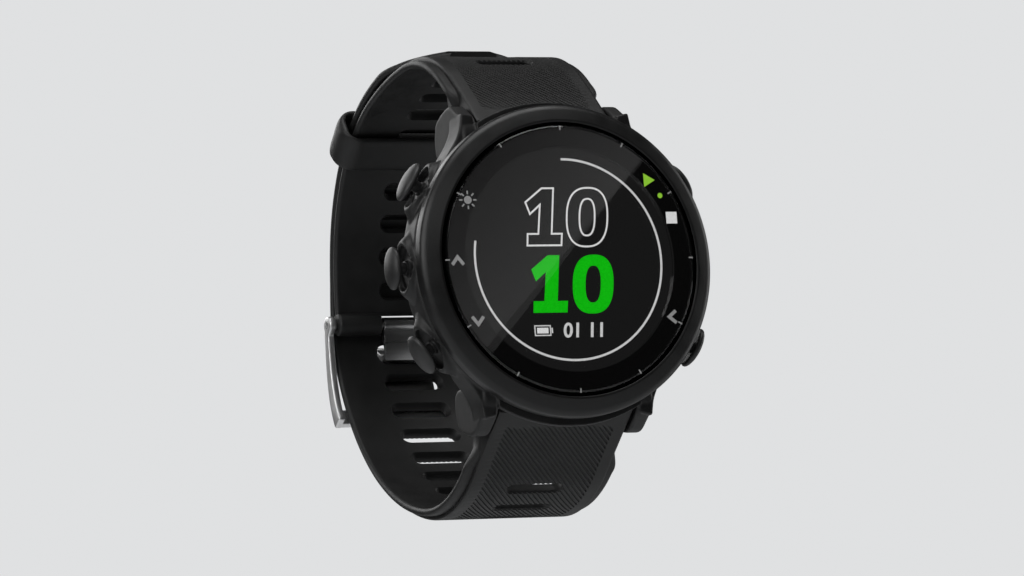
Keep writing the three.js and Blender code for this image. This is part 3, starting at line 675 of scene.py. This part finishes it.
def smooth_rows(rows, per):
    """Rows of numbers with (per - 1) more between each two, on a smooth curve through them all."""
    result = []
    for i in range(len(rows) - 1):
        a, b, c, d = rows[max(i - 1, 0)], rows[i], rows[i + 1], rows[min(i + 2, len(rows) - 1)]
        for k in range(per):
            t = k / per
            row = []
            for p, q, r, s in zip(a, b, c, d):
                square = (2 * p - 5 * q + 4 * r - s) * t * t
                cube = (3 * q - p - 3 * r + s) * t ** 3
                row.append(0.5 * (2 * q + (r - p) * t + square + cube))
            result.append(row)
    result.append(list(rows[-1]))
    return result


def strip_section(half, thick, radius):
    """A strip's section as (x, share of the thickness), with rounded edges."""
    r = min(radius, 0.46 * thick)
    quarter = [math.radians(90 * k / 5) for k in range(6)]
    right_low = [(half - r + r * math.sin(a), (r - r * math.cos(a)) / thick) for a in quarter]
    right_high = [(half - r + r * math.cos(a), (thick - r + r * math.sin(a)) / thick) for a in quarter]
    right = right_low + right_high
    return right + [(-x, t) for x, t in reversed(right)]


def flange(name, point, start, end, shoulder, half):
    """The thin wide layer of the band, from start to the end of its path and on into the shoulder."""
    count = round((end - start) / 0.6)
    rows = []
    for i in range(count + 1):
        s = start + (end - start) * i / count
        rows.append([*point(s), *point(s, FLANGE["thick"]), half(s)])
    turning = smooth_rows(rows[-10::3] + [list(row) for row in shoulder], 6)
    rings = []
    for y0, z0, y1, z1, width in rows[:-10] + turning:
        low, high = Vector((y0, z0)), Vector((y1, z1))
        thick = (high - low).length
        edge = 0.5 + 0.35 * max(0.0, thick - FLANGE["thick"])
        ring = []
        for x, share in strip_section(width, thick, edge):
            y, z = low.lerp(high, share)
            ring.append((x, y, z))
        rings.append(ring)
    return loft(name, rings)


RIB = {"pitch": 0.86, "zone": 8.1, "depth": 0.17, "cross": 22, "step": 0.45}


def rib_height(s, x, start, end):
    """How far the rib pattern drops at this row: nothing outside its zone or near the ends."""
    if abs(x) >= RIB["zone"] - 1e-6 or s < start or s > end:
        return 0.0
    return -RIB["depth"]


def raised_layer(name, surface, start, end, half, ribs, hand):
    """The thicker middle layer with its slanting ribs.

    surface(s, offset) gives (y, z). Rows of the mesh slant with the ribs: they cross the ribbed zone
    over a whole number of pitches, so both plain borders keep the same rows. hand is +1 where the
    ribs climb towards +X and -1 where they climb towards -X.
    """
    zone = RIB["zone"]
    columns = round(2 * (zone - 0.2) / RIB["step"])
    inner = [-(zone - 0.2) + 2 * (zone - 0.2) * i / columns for i in range(columns + 1)]
    slant = RIB["cross"] * RIB["pitch"] / (2 * zone)
    top, low = RAISED["thick"], RAISED["low"]
    edge = [(0.0, low), (0.0, top - 0.3), (0.08, top - 0.12), (0.25, top - 0.02), (0.5, top)]
    parts = [(0.0, False), (0.44, False), (0.52, True), (0.78, True)]
    rows = []
    first = math.floor(start / RIB["pitch"]) - RIB["cross"] - 1
    last = math.ceil(end / RIB["pitch"]) + 1
    for k in range(first, last):
        rows += [(k * RIB["pitch"] + share * RIB["pitch"], valley) for share, valley in parts]
    rings = []
    for row_s, valley in rows:
        ring = []
        spots = [(-1, inset, o) for inset, o in edge]
        spots += [(0, x, top) for x in (-zone, *inner, zone)]
        spots += [(1, inset, o) for inset, o in reversed(edge)]
        spots += [(0, x, low) for x in reversed((-zone, *inner[::2], zone))]
        for side, across, offset in spots:
            x = across if side == 0 else side * (RAISED["half"] - across)
            lean = min(max(hand * x, -zone), zone) + zone
            s = min(max(row_s + lean * slant, start), end)
            if side:
                x = side * (half(s) - across)
            else:
                x = across * half(s) / RAISED["half"]
                if valley and offset == top:
                    offset += rib_height(s, across, ribs[0], ribs[1])
            y, z = surface(s, offset)
            ring.append((x, y, z))
        rings.append(ring)
    return loft(name, rings)


def neck_surface(point, end, front, back):
    """The raised layer's surface, carried on past the path down the neck between the lugs.

    front and back are the neck's outer and inner outlines from the path's end to its tip.
    """
    turn_s = end - 1.5
    outer = [point(turn_s, RAISED["thick"]), *[Vector(p) for p in front]]
    inner = [point(turn_s, RAISED["low"]), *[Vector(p) for p in back]]

    def along(line, share):
        lengths = [(b - a).length for a, b in zip(line, line[1:])]
        left = share * sum(lengths)
        for a, b, length in zip(line, line[1:], lengths):
            if left <= length:
                return a.lerp(b, left / length)
            left -= length
        return line[-1]

    neck_length = sum((b - a).length for a, b in zip(outer, outer[1:]))
    soft_outer = [Vector(p) for p in smooth_rows([point(turn_s - 2, RAISED["thick"]), *outer], 8)[8:]]

    def surface(s, offset):
        if s <= turn_s:
            return point(s, offset)
        share = min((s - turn_s) / neck_length, 1.0)
        high, low = along(soft_outer, share), along(inner, share)
        depth = (offset - RAISED["low"]) / (RAISED["thick"] - RAISED["low"])
        if offset > RAISED["low"] + 0.01:
            return high + (high - low).normalized() * (offset - RAISED["thick"])
        return low.lerp(high, depth)

    return surface, turn_s + neck_length


def slot_tools(point, first, last, size=SLOT):
    """Oblong slot cutters, flared at both faces into the slots' chamfers."""
    tools = []
    s = first
    while s <= last + 1e-6:
        centre = point(s, 0.0)
        out = (point(s, 1.0) - centre).normalized()
        along = Vector((-out[1], out[0]))
        rings = []
        for offset, grow in ((-0.7, 0.85), (0.0, 0.45), (0.6, 0.04), (1.4, 0.0), (2.3, 0.6)):
            r = size["height"] / 2 + grow
            straight = (size["length"] - size["height"]) / 2
            ring = []
            for k in range(32):
                a = 2 * math.pi * (k + 0.5) / 32
                x = math.copysign(straight, math.cos(a)) + r * math.cos(a)
                y, z = centre + out * offset + along * r * math.sin(a)
                ring.append((x, y, z))
            rings.append(ring)
        tools.append(loft("slot", rings))
        s += SLOT["pitch"]
    return tools


def release_tools(side):
    """The spring bar's bore and the opening for its lever."""
    y, z = SPRING_BAR["y"], side * SPRING_BAR["z"]
    lever = bevel(box("lever_gap", (-9.2, y, z - 1.3), (-5.0, 6.0, z + 1.3)), 0.25)
    return [rod("bar_bore", SPRING_BAR["bore_r"], -12.6, 12.6, y, z, 32), lever]


def upper_strap():
    thin = flange("upper_strap_band", upper_point, 0.0, UPPER_END, UPPER_SHOULDER, lambda s: FLANGE["half"])
    front = [(-1.4, 24.95), (-4.0, 22.4), (-6.4, 19.9)]
    back = [(2.4, 20.5), (-0.6, 18.6), (-6.4, 18.6)]
    surface, end = neck_surface(upper_point, UPPER_END, front, back)
    ribs = (3.0, end - 3.2)
    thick = raised_layer("raised", surface, 0.2, end, lambda s: RAISED["half"], ribs, 1)
    body = boolean(thin, thick, "UNION")
    eye = rod("eye", 1.6, -FLANGE["half"], FLANGE["half"], UPPER_START_Y + 0.25, BAND_START_Z)
    body = boolean(body, bevel(eye, 0.3), "UNION")
    body = boolean(body, join(slot_tools(upper_point, 4.75, 58.0)))
    body = boolean(body, bevel(box("notch", (-4.8, 42.5, -3.0), (4.8, 48.5, 1.9)), 0.5))
    body = boolean(body, rod("bar_bore", BUCKLE["bar_r"] + 0.1, -12, 12, BUCKLE["bar_y"], BAND_START_Z, 32))
    for tool in release_tools(1):
        body = boolean(body, tool)
    piece(shade(body), "silicone", "watch", "silicone", "upper_strap")


def lower_strap():
    tip = -TAIL["length"]
    thin = flange("lower_strap_band", lower_point, tip, LOWER_END, LOWER_SHOULDER, tail_half)
    front = [(1.4, -25.4), (-2.4, -22.7), (-6.4, -19.9)]
    back = [(2.4, -20.5), (-0.6, -18.6), (-6.4, -18.6)]
    surface, end = neck_surface(lower_point, LOWER_END, front, back)
    thick = raised_layer(
        "raised", surface, tip + 1.4, end, lambda s: tail_half(s - 0.6) - 1.3, (tip + 5.5, end - 3.2), -1
    )
    body = boolean(thin, thick, "UNION")
    tools = slot_tools(down_point, 3.8, 3.8, TONGUE_SLOT) + slot_tools(down_point, 8.6, 57.0)
    body = boolean(body, join(tools + slot_tools(tail_point, 2.25, 44.0)))
    for tool in release_tools(-1):
        body = boolean(body, tool)
    piece(shade(body), "silicone", "watch", "silicone", "lower_strap")


def keeper():
    """A closed loop of silicone round both layers of the band."""
    centre_piece = band_centre()
    half_angle = KEEPER["half_span"]
    loops = []
    around = 96
    wall = rounded([(0, -1, 0.5), (1, -0.93, 0.7), (1, 0.93, 0.7), (0, 1, 0.5)], 6)
    (in_low, in_high), (out_low, out_high) = KEEPER["in"], KEEPER["out"]

    def loop_point(width, low, high, radius, t):
        """A rounded rectangle's point, as (x, distance from the arc's centre)."""
        a = 2 * math.pi * t
        cx, cr = width - radius, (high - low) / 2 - radius
        x = math.copysign(cx, math.cos(a)) + radius * math.cos(a)
        r = (low + high) / 2 + math.copysign(cr, math.sin(a)) + radius * math.sin(a)
        return Vector((x, r))

    for i in range(around):
        t = (i + 0.5) / around
        inside = loop_point(KEEPER["half_in"], in_low, in_high, 0.7, t)
        outside = loop_point(KEEPER["half_out"], out_low, out_high, 3.2, t)
        ring = []
        for share, turn_share in wall:
            x, r = inside.lerp(outside, share)
            angle = math.radians(KEEPER["centre"] + half_angle * turn_share)
            ring.append((x, centre_piece[0] + r * math.cos(angle), centre_piece[1] + r * math.sin(angle)))
        loops.append(ring)
    piece(shade(loft("keeper_loop", loops, closed=True), 50), "silicone", "keeper", "silicone", "keeper")


def band_centre():
    """The centre of the upper path's second arc, which the keeper slides round."""
    first_length, first_r = UPPER_ARCS[0]
    second_r = UPPER_ARCS[1][1]
    heading = UP + first_length / first_r
    y, z = upper_point(first_length - 1e-6)
    return (y - second_r * math.sin(heading), z + second_r * math.cos(heading))


# ---------- spring bars and buckle ----------
def spring_bars():
    y, r = SPRING_BAR["y"], SPRING_BAR["r"]
    tip_r, tip_x = SPRING_BAR["tip_r"], SPRING_BAR["tip_x"]
    for name, side in (("upper", 1), ("lower", -1)):
        z = side * SPRING_BAR["z"]
        barrel = turned_rod(f"{name}_bar_barrel", [
            (-9.6, r - 0.1), (-9.5, r), (-9.0, r), (9.0, r), (9.5, r), (9.6, r - 0.1), (9.6, tip_r),
            (tip_x - 0.1, tip_r), (tip_x, tip_r - 0.1),
        ], y, z)
        slit = box("slit", (-8.1, y, z - 0.45), (-5.9, y + 2, z + 0.45))
        tools = join([rod("inside", 0.5, -10, -4.2, y, z, 32), slit])
        barrel = boolean(barrel, tools)
        piece(shade(barrel), "steel", "watch", "steel", f"{name}_spring_bar")
        shaft = [(-tip_x, tip_r - 0.1), (-tip_x + 0.1, tip_r), (-5.6, tip_r)]
        pin = turned_rod(f"{name}_pin_lever", shaft, y, z, 32)
        post = upright("post", 0.32, y, y + 2.1, -7.6, z, 24)
        knob = bevel(box("knob", (-8.5, y + 1.6, z - 0.9), (-6.8, y + 2.4, z + 0.9)), 0.3)
        lever = boolean(boolean(pin, post, "UNION"), knob, "UNION")
        piece(shade(lever), "steel", f"{name}_release", "steel", f"{name}_release_pin")


def from_bar(r, degrees):
    """The point at distance r from the buckle bar, so many degrees outwards from straight down."""
    a = math.radians(degrees)
    return (BUCKLE["bar_y"] + r * math.sin(a), BAND_START_Z - r * math.cos(a))


def buckle_bar():
    tip, body = 12.2, BUCKLE["arm_in"] - 0.15
    profile = [
        (-tip, 0.3), (-tip + 0.1, 0.4), (-body, 0.4), (-body, BUCKLE["bar_r"]),
        (body, BUCKLE["bar_r"]), (body, 0.4), (tip - 0.1, 0.4), (tip, 0.3),
    ]
    bar = turned_rod("buckle_pin", profile, BUCKLE["bar_y"], BAND_START_Z)
    piece(shade(bar), "steel", "watch", "steel", "buckle_bar")


def buckle_frame():
    end = BUCKLE["end_s"]
    steps = [end * i / 20 for i in range(21)]

    def reach(s, low, high):
        share = s / end
        return low + (high - low) * share * share * (3 - 2 * share)

    inner = [tuple(down_point(s, reach(s, -1.25, 0.9))) for s in steps[2:]]
    outer = [tuple(down_point(s, reach(s, 0.2, 3.1))) for s in reversed(steps[2:])]
    knuckle = [from_bar(1.3, a) for a in range(60, 301, 12)]
    outline = outer + knuckle + inner
    parts = []
    for x0, x1 in ((BUCKLE["arm_in"], BUCKLE["arm_out"]), (-BUCKLE["arm_out"], -BUCKLE["arm_in"])):
        parts.append(bevel(prism("arm", outline, x0, x1), 0.28))
    bar_steps = [end - 2.4 + 0.4 * i for i in range(7)]
    bar = [tuple(down_point(s, 1.95)) for s in bar_steps]
    bar += [tuple(down_point(s, 3.1)) for s in reversed(bar_steps)]
    parts.append(bevel(prism("far_bar", bar, -BUCKLE["arm_out"] + 0.3, BUCKLE["arm_out"] - 0.3), 0.4))
    body = boolean(boolean(parts[0], parts[1], "UNION"), parts[2], "UNION")
    hole = rod("hole", 0.5, -12.6, 12.6, BUCKLE["bar_y"], BAND_START_Z, 32)
    body = boolean(body, hole)
    body.name = "buckle_hoop"
    # The frame's lighter steel is painted highlight.
    piece(shade(body), "steel_painted_highlight", "buckle_frame", "steel", "buckle_frame")


def buckle_tongue():
    h = TONGUE["thick"] / 2
    root, cross = -3, 48
    sweep = [root + (cross - root) * i / 14 for i in range(15)]
    outside = smooth_rows([(4.4, 2.5), (7.4, 2.6), (10.4, 2.8), (11.4, 3.75), (14.0, 3.8)], 4)
    outline = [from_bar(0.9, root - 40), from_bar(2.0, root - 18), from_bar(3.4, root - 8)]
    outline += [from_bar(TONGUE["cross_r"] + h, a) for a in sweep[:-1]]
    outline += [tuple(down_point(s, o - h)) for s, o in outside]
    outline += [tuple(down_point(s, o + h)) for s, o in reversed(outside)]
    outline += [from_bar(TONGUE["cross_r"] - h, a) for a in reversed(sweep)]
    outline += [from_bar(2.6, root + 6), from_bar(1.6, root + 18), from_bar(0.9, root + 40)]
    plate = bevel(prism("tongue_plate", outline, -TONGUE["half"], TONGUE["half"]), 0.16)
    eye = bevel(rod("eye", 1.05, -TONGUE["half"], TONGUE["half"], BUCKLE["bar_y"], BAND_START_Z), 0.12)
    body = boolean(plate, eye, "UNION")
    body = boolean(body, rod("bore", BUCKLE["bar_r"] + 0.1, -6, 6, BUCKLE["bar_y"], BAND_START_Z, 32))
    piece(shade(body), "steel", "buckle_tongue", "steel", "buckle_tongue")


# ---------- what the display shows ----------
MARK_Y = DISPLAY_Y - 0.09
MARK_DEPTH = 0.02
PRINT_Y = -11.36
BORDER = {"front": -11.32, "rim": -11.5, "back": -10.42}
SLANT = 0.1
ROW_SHIFT = -9.12
DIGIT_ONE = [
    (-5.7, 7.8), (-3.15, 9.7), (-1.45, 9.7), (-2.2, 3.5), (-0.7, 3.5), (-0.9, 1.93), (-5.88, 1.93),
    (-5.72, 3.5), (-4.15, 3.5), (-3.6, 7.45), (-5.15, 6.2),
]
DIGIT_ZERO = {"centre": (3.2, 5.73), "outer": (3.0, 4.0), "inner": (1.12, 2.5)}


def oval(centre, half, steps=72, power=2.5):
    """A squarish oval that leans as the digits do."""
    points = []
    for i in range(steps):
        a = 2 * math.pi * i / steps
        c, s = math.cos(a), math.sin(a)
        x = half[0] * math.copysign(abs(c) ** (2 / power), c)
        z = half[1] * math.copysign(abs(s) ** (2 / power), s)
        points.append((centre[0] + x + SLANT * z, centre[1] + z))
    return points


def face_curve(name, loops):
    """A curve object in the dial's plane: local x is +X and local y is +Z."""
    curve = bpy.data.curves.new(name, "CURVE")
    for loop in loops:
        spline = curve.splines.new("POLY")
        spline.points.add(len(loop) - 1)
        for point, (x, z) in zip(spline.points, loop):
            point.co = (x * MM, z * MM, 0, 1)
        spline.use_cyclic_u = True
    return linked(name, curve)


def face_mark(obj, finish, y=MARK_Y, at=(0, 0)):
    """Turns a flat curve or text into a thin mesh mark on the dial, at (x, z)."""
    name = obj.name
    mesh = final_mesh(obj)
    remove(obj)
    x, z = at
    mesh.transform(Matrix(((1, 0, 0, x * MM), (0, 0, -1, y * MM), (0, 1, 0, z * MM), (0, 0, 0, 1))))
    return piece(linked(name, mesh), finish, "watch", "screen")


def filled(name, loops, finish, y=MARK_Y):
    obj = face_curve(name, loops)
    obj.data.dimensions = "2D"
    obj.data.fill_mode = "BOTH"
    obj.data.extrude = MARK_DEPTH / 2 * MM
    return face_mark(obj, finish, y)


def stroke(name, loops, width, finish):
    """Outlines drawn with a flat line of that width."""
    rings = []
    for loop in loops:
        count = len(loop)
        outer, inner = [], []
        for i in range(count):
            here = Vector(loop[i])
            before = (here - Vector(loop[i - 1])).normalized()
            after = (Vector(loop[(i + 1) % count]) - here).normalized()
            normal = Vector((before[1] + after[1], -before[0] - after[0]))
            normal = normal.normalized() / max(0.35, math.sqrt((1 + before.dot(after)) / 2))
            outer.append(tuple(here + normal * width / 2))
            inner.append(tuple(here - normal * width / 2))
        rings += [outer, inner]
    return filled(name, rings, finish)


def text_mark(name, text, size, x, z, finish):
    curve = bpy.data.curves.new(name, "FONT")
    curve.body = text
    curve.size = size * MM
    curve.align_x = "CENTER"
    curve.align_y = "CENTER"
    curve.offset = 0.06 * MM
    curve.shear = SLANT
    curve.extrude = MARK_DEPTH / 2 * MM
    obj = linked(name, curve)
    bpy.context.view_layer.update()
    return face_mark(obj, finish, at=(x, z))


def arc_band(r, width, start, end, steps):
    """A band of an arc from start to end degrees, as one closed loop."""
    angles = [math.radians(start + (end - start) * i / steps) for i in range(steps + 1)]
    outer = [((r + width / 2) * math.cos(a), (r + width / 2) * math.sin(a)) for a in angles]
    inner = [((r - width / 2) * math.cos(a), (r - width / 2) * math.sin(a)) for a in reversed(angles)]
    return outer + inner


def placed(loop, degrees, r, turn_degrees=0.0):
    """A small mark's points moved to a clock angle on the dial, and turned about its own centre."""
    a, b = math.radians(degrees), math.radians(turn_degrees)
    cx, cz = r * math.cos(a), r * math.sin(a)
    return [
        (cx + x * math.cos(b) - z * math.sin(b), cz + x * math.sin(b) + z * math.cos(b)) for x, z in loop
    ]


def display():
    """The dial: hours in outline, minutes solid, a seconds ring, charge and date."""
    zero = DIGIT_ZERO
    zero_loops = [oval(zero["centre"], zero["outer"]), oval(zero["centre"], zero["inner"])]
    stroke("hours", [DIGIT_ONE, *zero_loops], 0.24, "white")
    lower = [[(x + 0.1, z + ROW_SHIFT) for x, z in loop] for loop in (DIGIT_ONE, *zero_loops)]
    filled("minutes", lower, "green")
    filled("seconds_ring", [arc_band(13.65, 0.3, 90, -191.2, 160)], "pale")
    cell = [(-5.75, -10.25), (-3.5, -10.25), (-3.5, -8.95), (-5.75, -8.95)]
    level = [(-5.45, -9.98), (-3.8, -9.98), (-3.8, -9.22), (-5.45, -9.22)]
    stroke("charge_cell", [cell], 0.16, "pale")
    filled("charge_level", [level], "white")
    filled("charge_tip", [[(-3.36, -9.95), (-3.14, -9.95), (-3.14, -9.25), (-3.36, -9.25)]], "pale")
    text_mark("date", "01 11", 2.75, 1.45, -9.7, "pale")
    field = upright("display_field", 15.3, DISPLAY_Y - 0.012, DISPLAY_Y + 0.1, 0, 0, 160)
    piece(shade(field), "field", "watch", "screen")


def printed_marks():
    """The printed black border, the minute ticks and a plain sign beside each button; the ticks and signs
    glow with painted light in place of lamp light.
    """
    inner, edge, outer = LENS["print_r"] + 0.03, LENS["r"] + 0.02, LENS["r"] + 0.4
    front, rim, back = BORDER["front"], BORDER["rim"], BORDER["back"]
    border = lathe("printed_border", [
        (inner, front), (edge, front), (edge, rim), (outer, rim), (outer, back), (inner, back),
    ])
    piece(border, "mask", "watch", "screen")
    for i in range(12):
        tick = [(-0.09, -0.3), (0.09, -0.3), (0.09, 0.3), (-0.09, 0.3)]
        filled(f"tick_{i + 1}", [placed(tick, 90 - 30 * i, 17.85, -30 * i)], "print_painted_glow", PRINT_Y)
    arrow = [(-1.0, -0.5), (0, 0.75), (1.0, -0.5), (0.65, -0.8), (0, 0.02), (-0.65, -0.8)]
    r = 16.4
    filled("sign_up", [placed(arrow, 180, r)], "print_painted_glow", PRINT_Y)
    filled("sign_down", [placed(arrow, 210.5, r, 180)], "print_painted_glow", PRINT_Y)
    filled("sign_back", [placed(arrow, -29.5, r, 90)], "print_painted_glow", PRINT_Y)
    filled("sign_light", [placed(circle((0, 0), 0.55, 32), 150.5, r)], "print_painted_glow", PRINT_Y)
    for k in range(8):
        ray = [(-0.1, 0.78), (0.1, 0.78), (0.1, 1.25), (-0.1, 1.25)]
        turned = placed(ray, 0, 0, 45 * k)
        filled(f"sign_ray_{k + 1}", [placed(turned, 150.5, r)], "print_painted_glow", PRINT_Y)
    play = [(-0.7, -0.95), (0.95, 0.0), (-0.7, 0.95)]
    filled("sign_start", [placed(play, 40.5, r)], "green_print_painted_glow", PRINT_Y)
    filled("sign_dot", [placed(circle((0, 0), 0.36, 32), 31.3, r)], "green_print_painted_glow", PRINT_Y)
    stop = [(-0.8, -0.8), (0.8, -0.8), (0.8, 0.8), (-0.8, 0.8)]
    filled("sign_stop", [placed(stop, 19.5, r)], "white_print_painted_glow", PRINT_Y)


INNER = {
    "lens_gasket": "gasket", "case_back_gasket": "gasket", "display_panel": "panel",
    "display_frame": "housing", "main_board": "board", "sensor_board": "board", "battery": "foil",
    "vibration_motor": "screw", "buzzer": "gold", "antenna": "antenna",
}


def inner_nodes():
    for name, finish in INNER.items():
        keep_node(name, finish)
    for name in BUTTON_ANGLES:
        keep_node(f"button_seal_{name}", "gasket")
        keep_node(f"button_clip_{name}", "steel")
        keep_node(f"switch_{name}", "housing")


# ---------- studio ----------
CAMERA = {"azimuth": -24.0, "elevation": -8.6, "roll": 4.53, "distance": 766.0, "lens": 201.06}
AIM = Vector((0, -11.0, 0))
PAN = (-7.647, -3.857)
FLOOR = {"reach": 6000, "z": -300, "glow": 0.6}
WORLD = {"seen": 0.8, "lighting": 0.03}
CARD = {"throw": 1.75, "overhang": 60, "width": 90, "fade": 40, "near": 0.34, "far": 0.08}
# Each softbox's place and size in metres, and its power in watts.
SOFTBOXES = {
    "left_softbox": ((-0.75, -0.25, 0.3), (0.6, 0.6), 2.6),
    "top_softbox": ((0.0, -0.15, 0.85), (0.8, 0.5), 3.4),
    "right_softbox": ((0.8, 0.1, 0.1), (0.3, 0.7), 1.2),
    "front_softbox": ((-0.35, -0.95, 0.5), (0.6, 0.4), 0.6),
    "rear_softbox": ((-0.2, 0.8, 0.45), (0.8, 0.5), 3.0),
}


def camera():
    a, e = math.radians(CAMERA["azimuth"]), math.radians(CAMERA["elevation"])
    back = Vector((math.sin(a) * math.cos(e), -math.cos(a) * math.cos(e), math.sin(e)))
    right = Vector((math.cos(a), math.sin(a), 0))
    up = back.cross(right)
    roll = math.radians(CAMERA["roll"])
    rolled_right = right * math.cos(roll) - up * math.sin(roll)
    rolled_up = right * math.sin(roll) + up * math.cos(roll)
    data = bpy.data.cameras.new("camera")
    data.lens = CAMERA["lens"]
    data.sensor_width = 36
    data.clip_start = 0.01
    data.clip_end = 50
    obj = linked("camera", data)
    place = AIM + back * CAMERA["distance"] + rolled_right * PAN[0] + rolled_up * PAN[1]
    facing = Matrix((rolled_right, rolled_up, back)).transposed().to_4x4()
    obj.matrix_world = Matrix.Translation(place * MM) @ facing
    bpy.context.scene.camera = obj
    return place


def area_light(name, place, target, size, power):
    data = bpy.data.lights.new(name, "AREA")
    data.shape = "RECTANGLE"
    data.size, data.size_y = size
    data.energy = power
    obj = linked(name, data)
    obj.location = place
    obj.rotation_mode = "QUATERNION"
    obj.rotation_quaternion = (Vector(target) - Vector(place)).to_track_quat("-Z", "Y")
    obj.visible_camera = False


def reflection_card(eye):
    """A soft card whose lower right edge the lens mirrors as a slanting line across the display."""
    edge = [Vector((12.18, LENS["front"], 13.79)), Vector((-13.16, LENS["front"], -12.6))]
    mirrored = Vector((eye[0], 2 * LENS["front"] - eye[1], eye[2]))
    top, bottom = [mirrored + (point - mirrored) * CARD["throw"] for point in edge]
    line = (top - bottom).normalized()
    facing = (mirrored - (top + bottom) / 2).normalized()
    away = line.cross(facing)
    if away[0] > 0:
        away.negate()
    near = [top + line * CARD["overhang"], bottom - line * CARD["overhang"]]
    far = [near[1] + away * CARD["width"], near[0] + away * CARD["width"]]
    card = new_object("card", near + far, [[0, 1, 2, 3]])
    centre = (top + bottom) / 2 * MM
    material = bpy.data.materials.new("card_glow")
    material.use_nodes = True
    tree = material.node_tree
    tree.nodes.clear()
    place = tree.nodes.new("ShaderNodeTexCoord").outputs["Object"]
    shift = tree.nodes.new("ShaderNodeVectorMath")
    shift.operation = "SUBTRACT"
    shift.inputs[1].default_value = centre
    depth = tree.nodes.new("ShaderNodeVectorMath")
    depth.operation = "DOT_PRODUCT"
    depth.inputs[1].default_value = away
    fade = tree.nodes.new("ShaderNodeMapRange")
    fade.inputs["From Max"].default_value = CARD["fade"] * MM
    fade.inputs["To Min"].default_value = CARD["near"]
    fade.inputs["To Max"].default_value = CARD["far"]
    glow = tree.nodes.new("ShaderNodeEmission")
    output = tree.nodes.new("ShaderNodeOutputMaterial")
    tree.links.new(place, shift.inputs[0])
    tree.links.new(shift.outputs["Vector"], depth.inputs[0])
    tree.links.new(depth.outputs["Value"], fade.inputs["Value"])
    tree.links.new(fade.outputs["Result"], glow.inputs["Strength"])
    tree.links.new(glow.outputs["Emission"], output.inputs["Surface"])
    card.data.materials.append(material)
    card.visible_camera = False
    card.visible_shadow = False


def camera_level(tree, seen, lighting):
    """One strength for what the camera sees and another for the light that reaches the watch."""
    level = tree.nodes.new("ShaderNodeMapRange")
    level.inputs["To Min"].default_value = lighting
    level.inputs["To Max"].default_value = seen
    tree.links.new(tree.nodes.new("ShaderNodeLightPath").outputs["Is Camera Ray"], level.inputs["Value"])
    return level.outputs["Result"]


def studio():
    world = bpy.data.worlds.new("studio")
    world.use_nodes = True
    tree = world.node_tree
    background = tree.nodes["Background"]
    tree.links.new(camera_level(tree, WORLD["seen"], WORLD["lighting"]), background.inputs["Strength"])
    background.inputs["Color"].default_value = (0.93, 0.94, 0.95, 1)
    bpy.context.scene.world = world

    reach, floor_z = FLOOR["reach"], FLOOR["z"]
    corners = [(x * reach, y * reach, floor_z) for x, y in ((-1, -1), (1, -1), (1, 1), (-1, 1))]
    floor = new_object("floor", corners, [[0, 1, 2, 3]])
    material = bpy.data.materials.new("pale_floor")
    material.use_nodes = True
    tree = material.node_tree
    shader = tree.nodes["Principled BSDF"]
    shader.inputs["Base Color"].default_value = (0.8, 0.81, 0.82, 1)
    shader.inputs["Roughness"].default_value = 0.7
    shader.inputs["Emission Color"].default_value = (0.93, 0.94, 0.95, 1)
    tree.links.new(camera_level(tree, FLOOR["glow"], 0.0), shader.inputs["Emission Strength"])
    floor.data.materials.append(material)

    target = (0, 0.005, 0)
    for name, (place, size, power) in SOFTBOXES.items():
        area_light(name, place, target, size, power)


bpy.context.scene.view_settings.view_transform = "Standard"
eye_place = camera()
bezel()
lens()
mid_case()
case_back()
sensor_window()
case_screws()
charge_contacts()
buttons()
upper_strap()
lower_strap()
keeper()
spring_bars()
buckle_bar()
buckle_frame()
buckle_tongue()
display()
printed_marks()
inner_nodes()
studio()
reflection_card(eye_place)
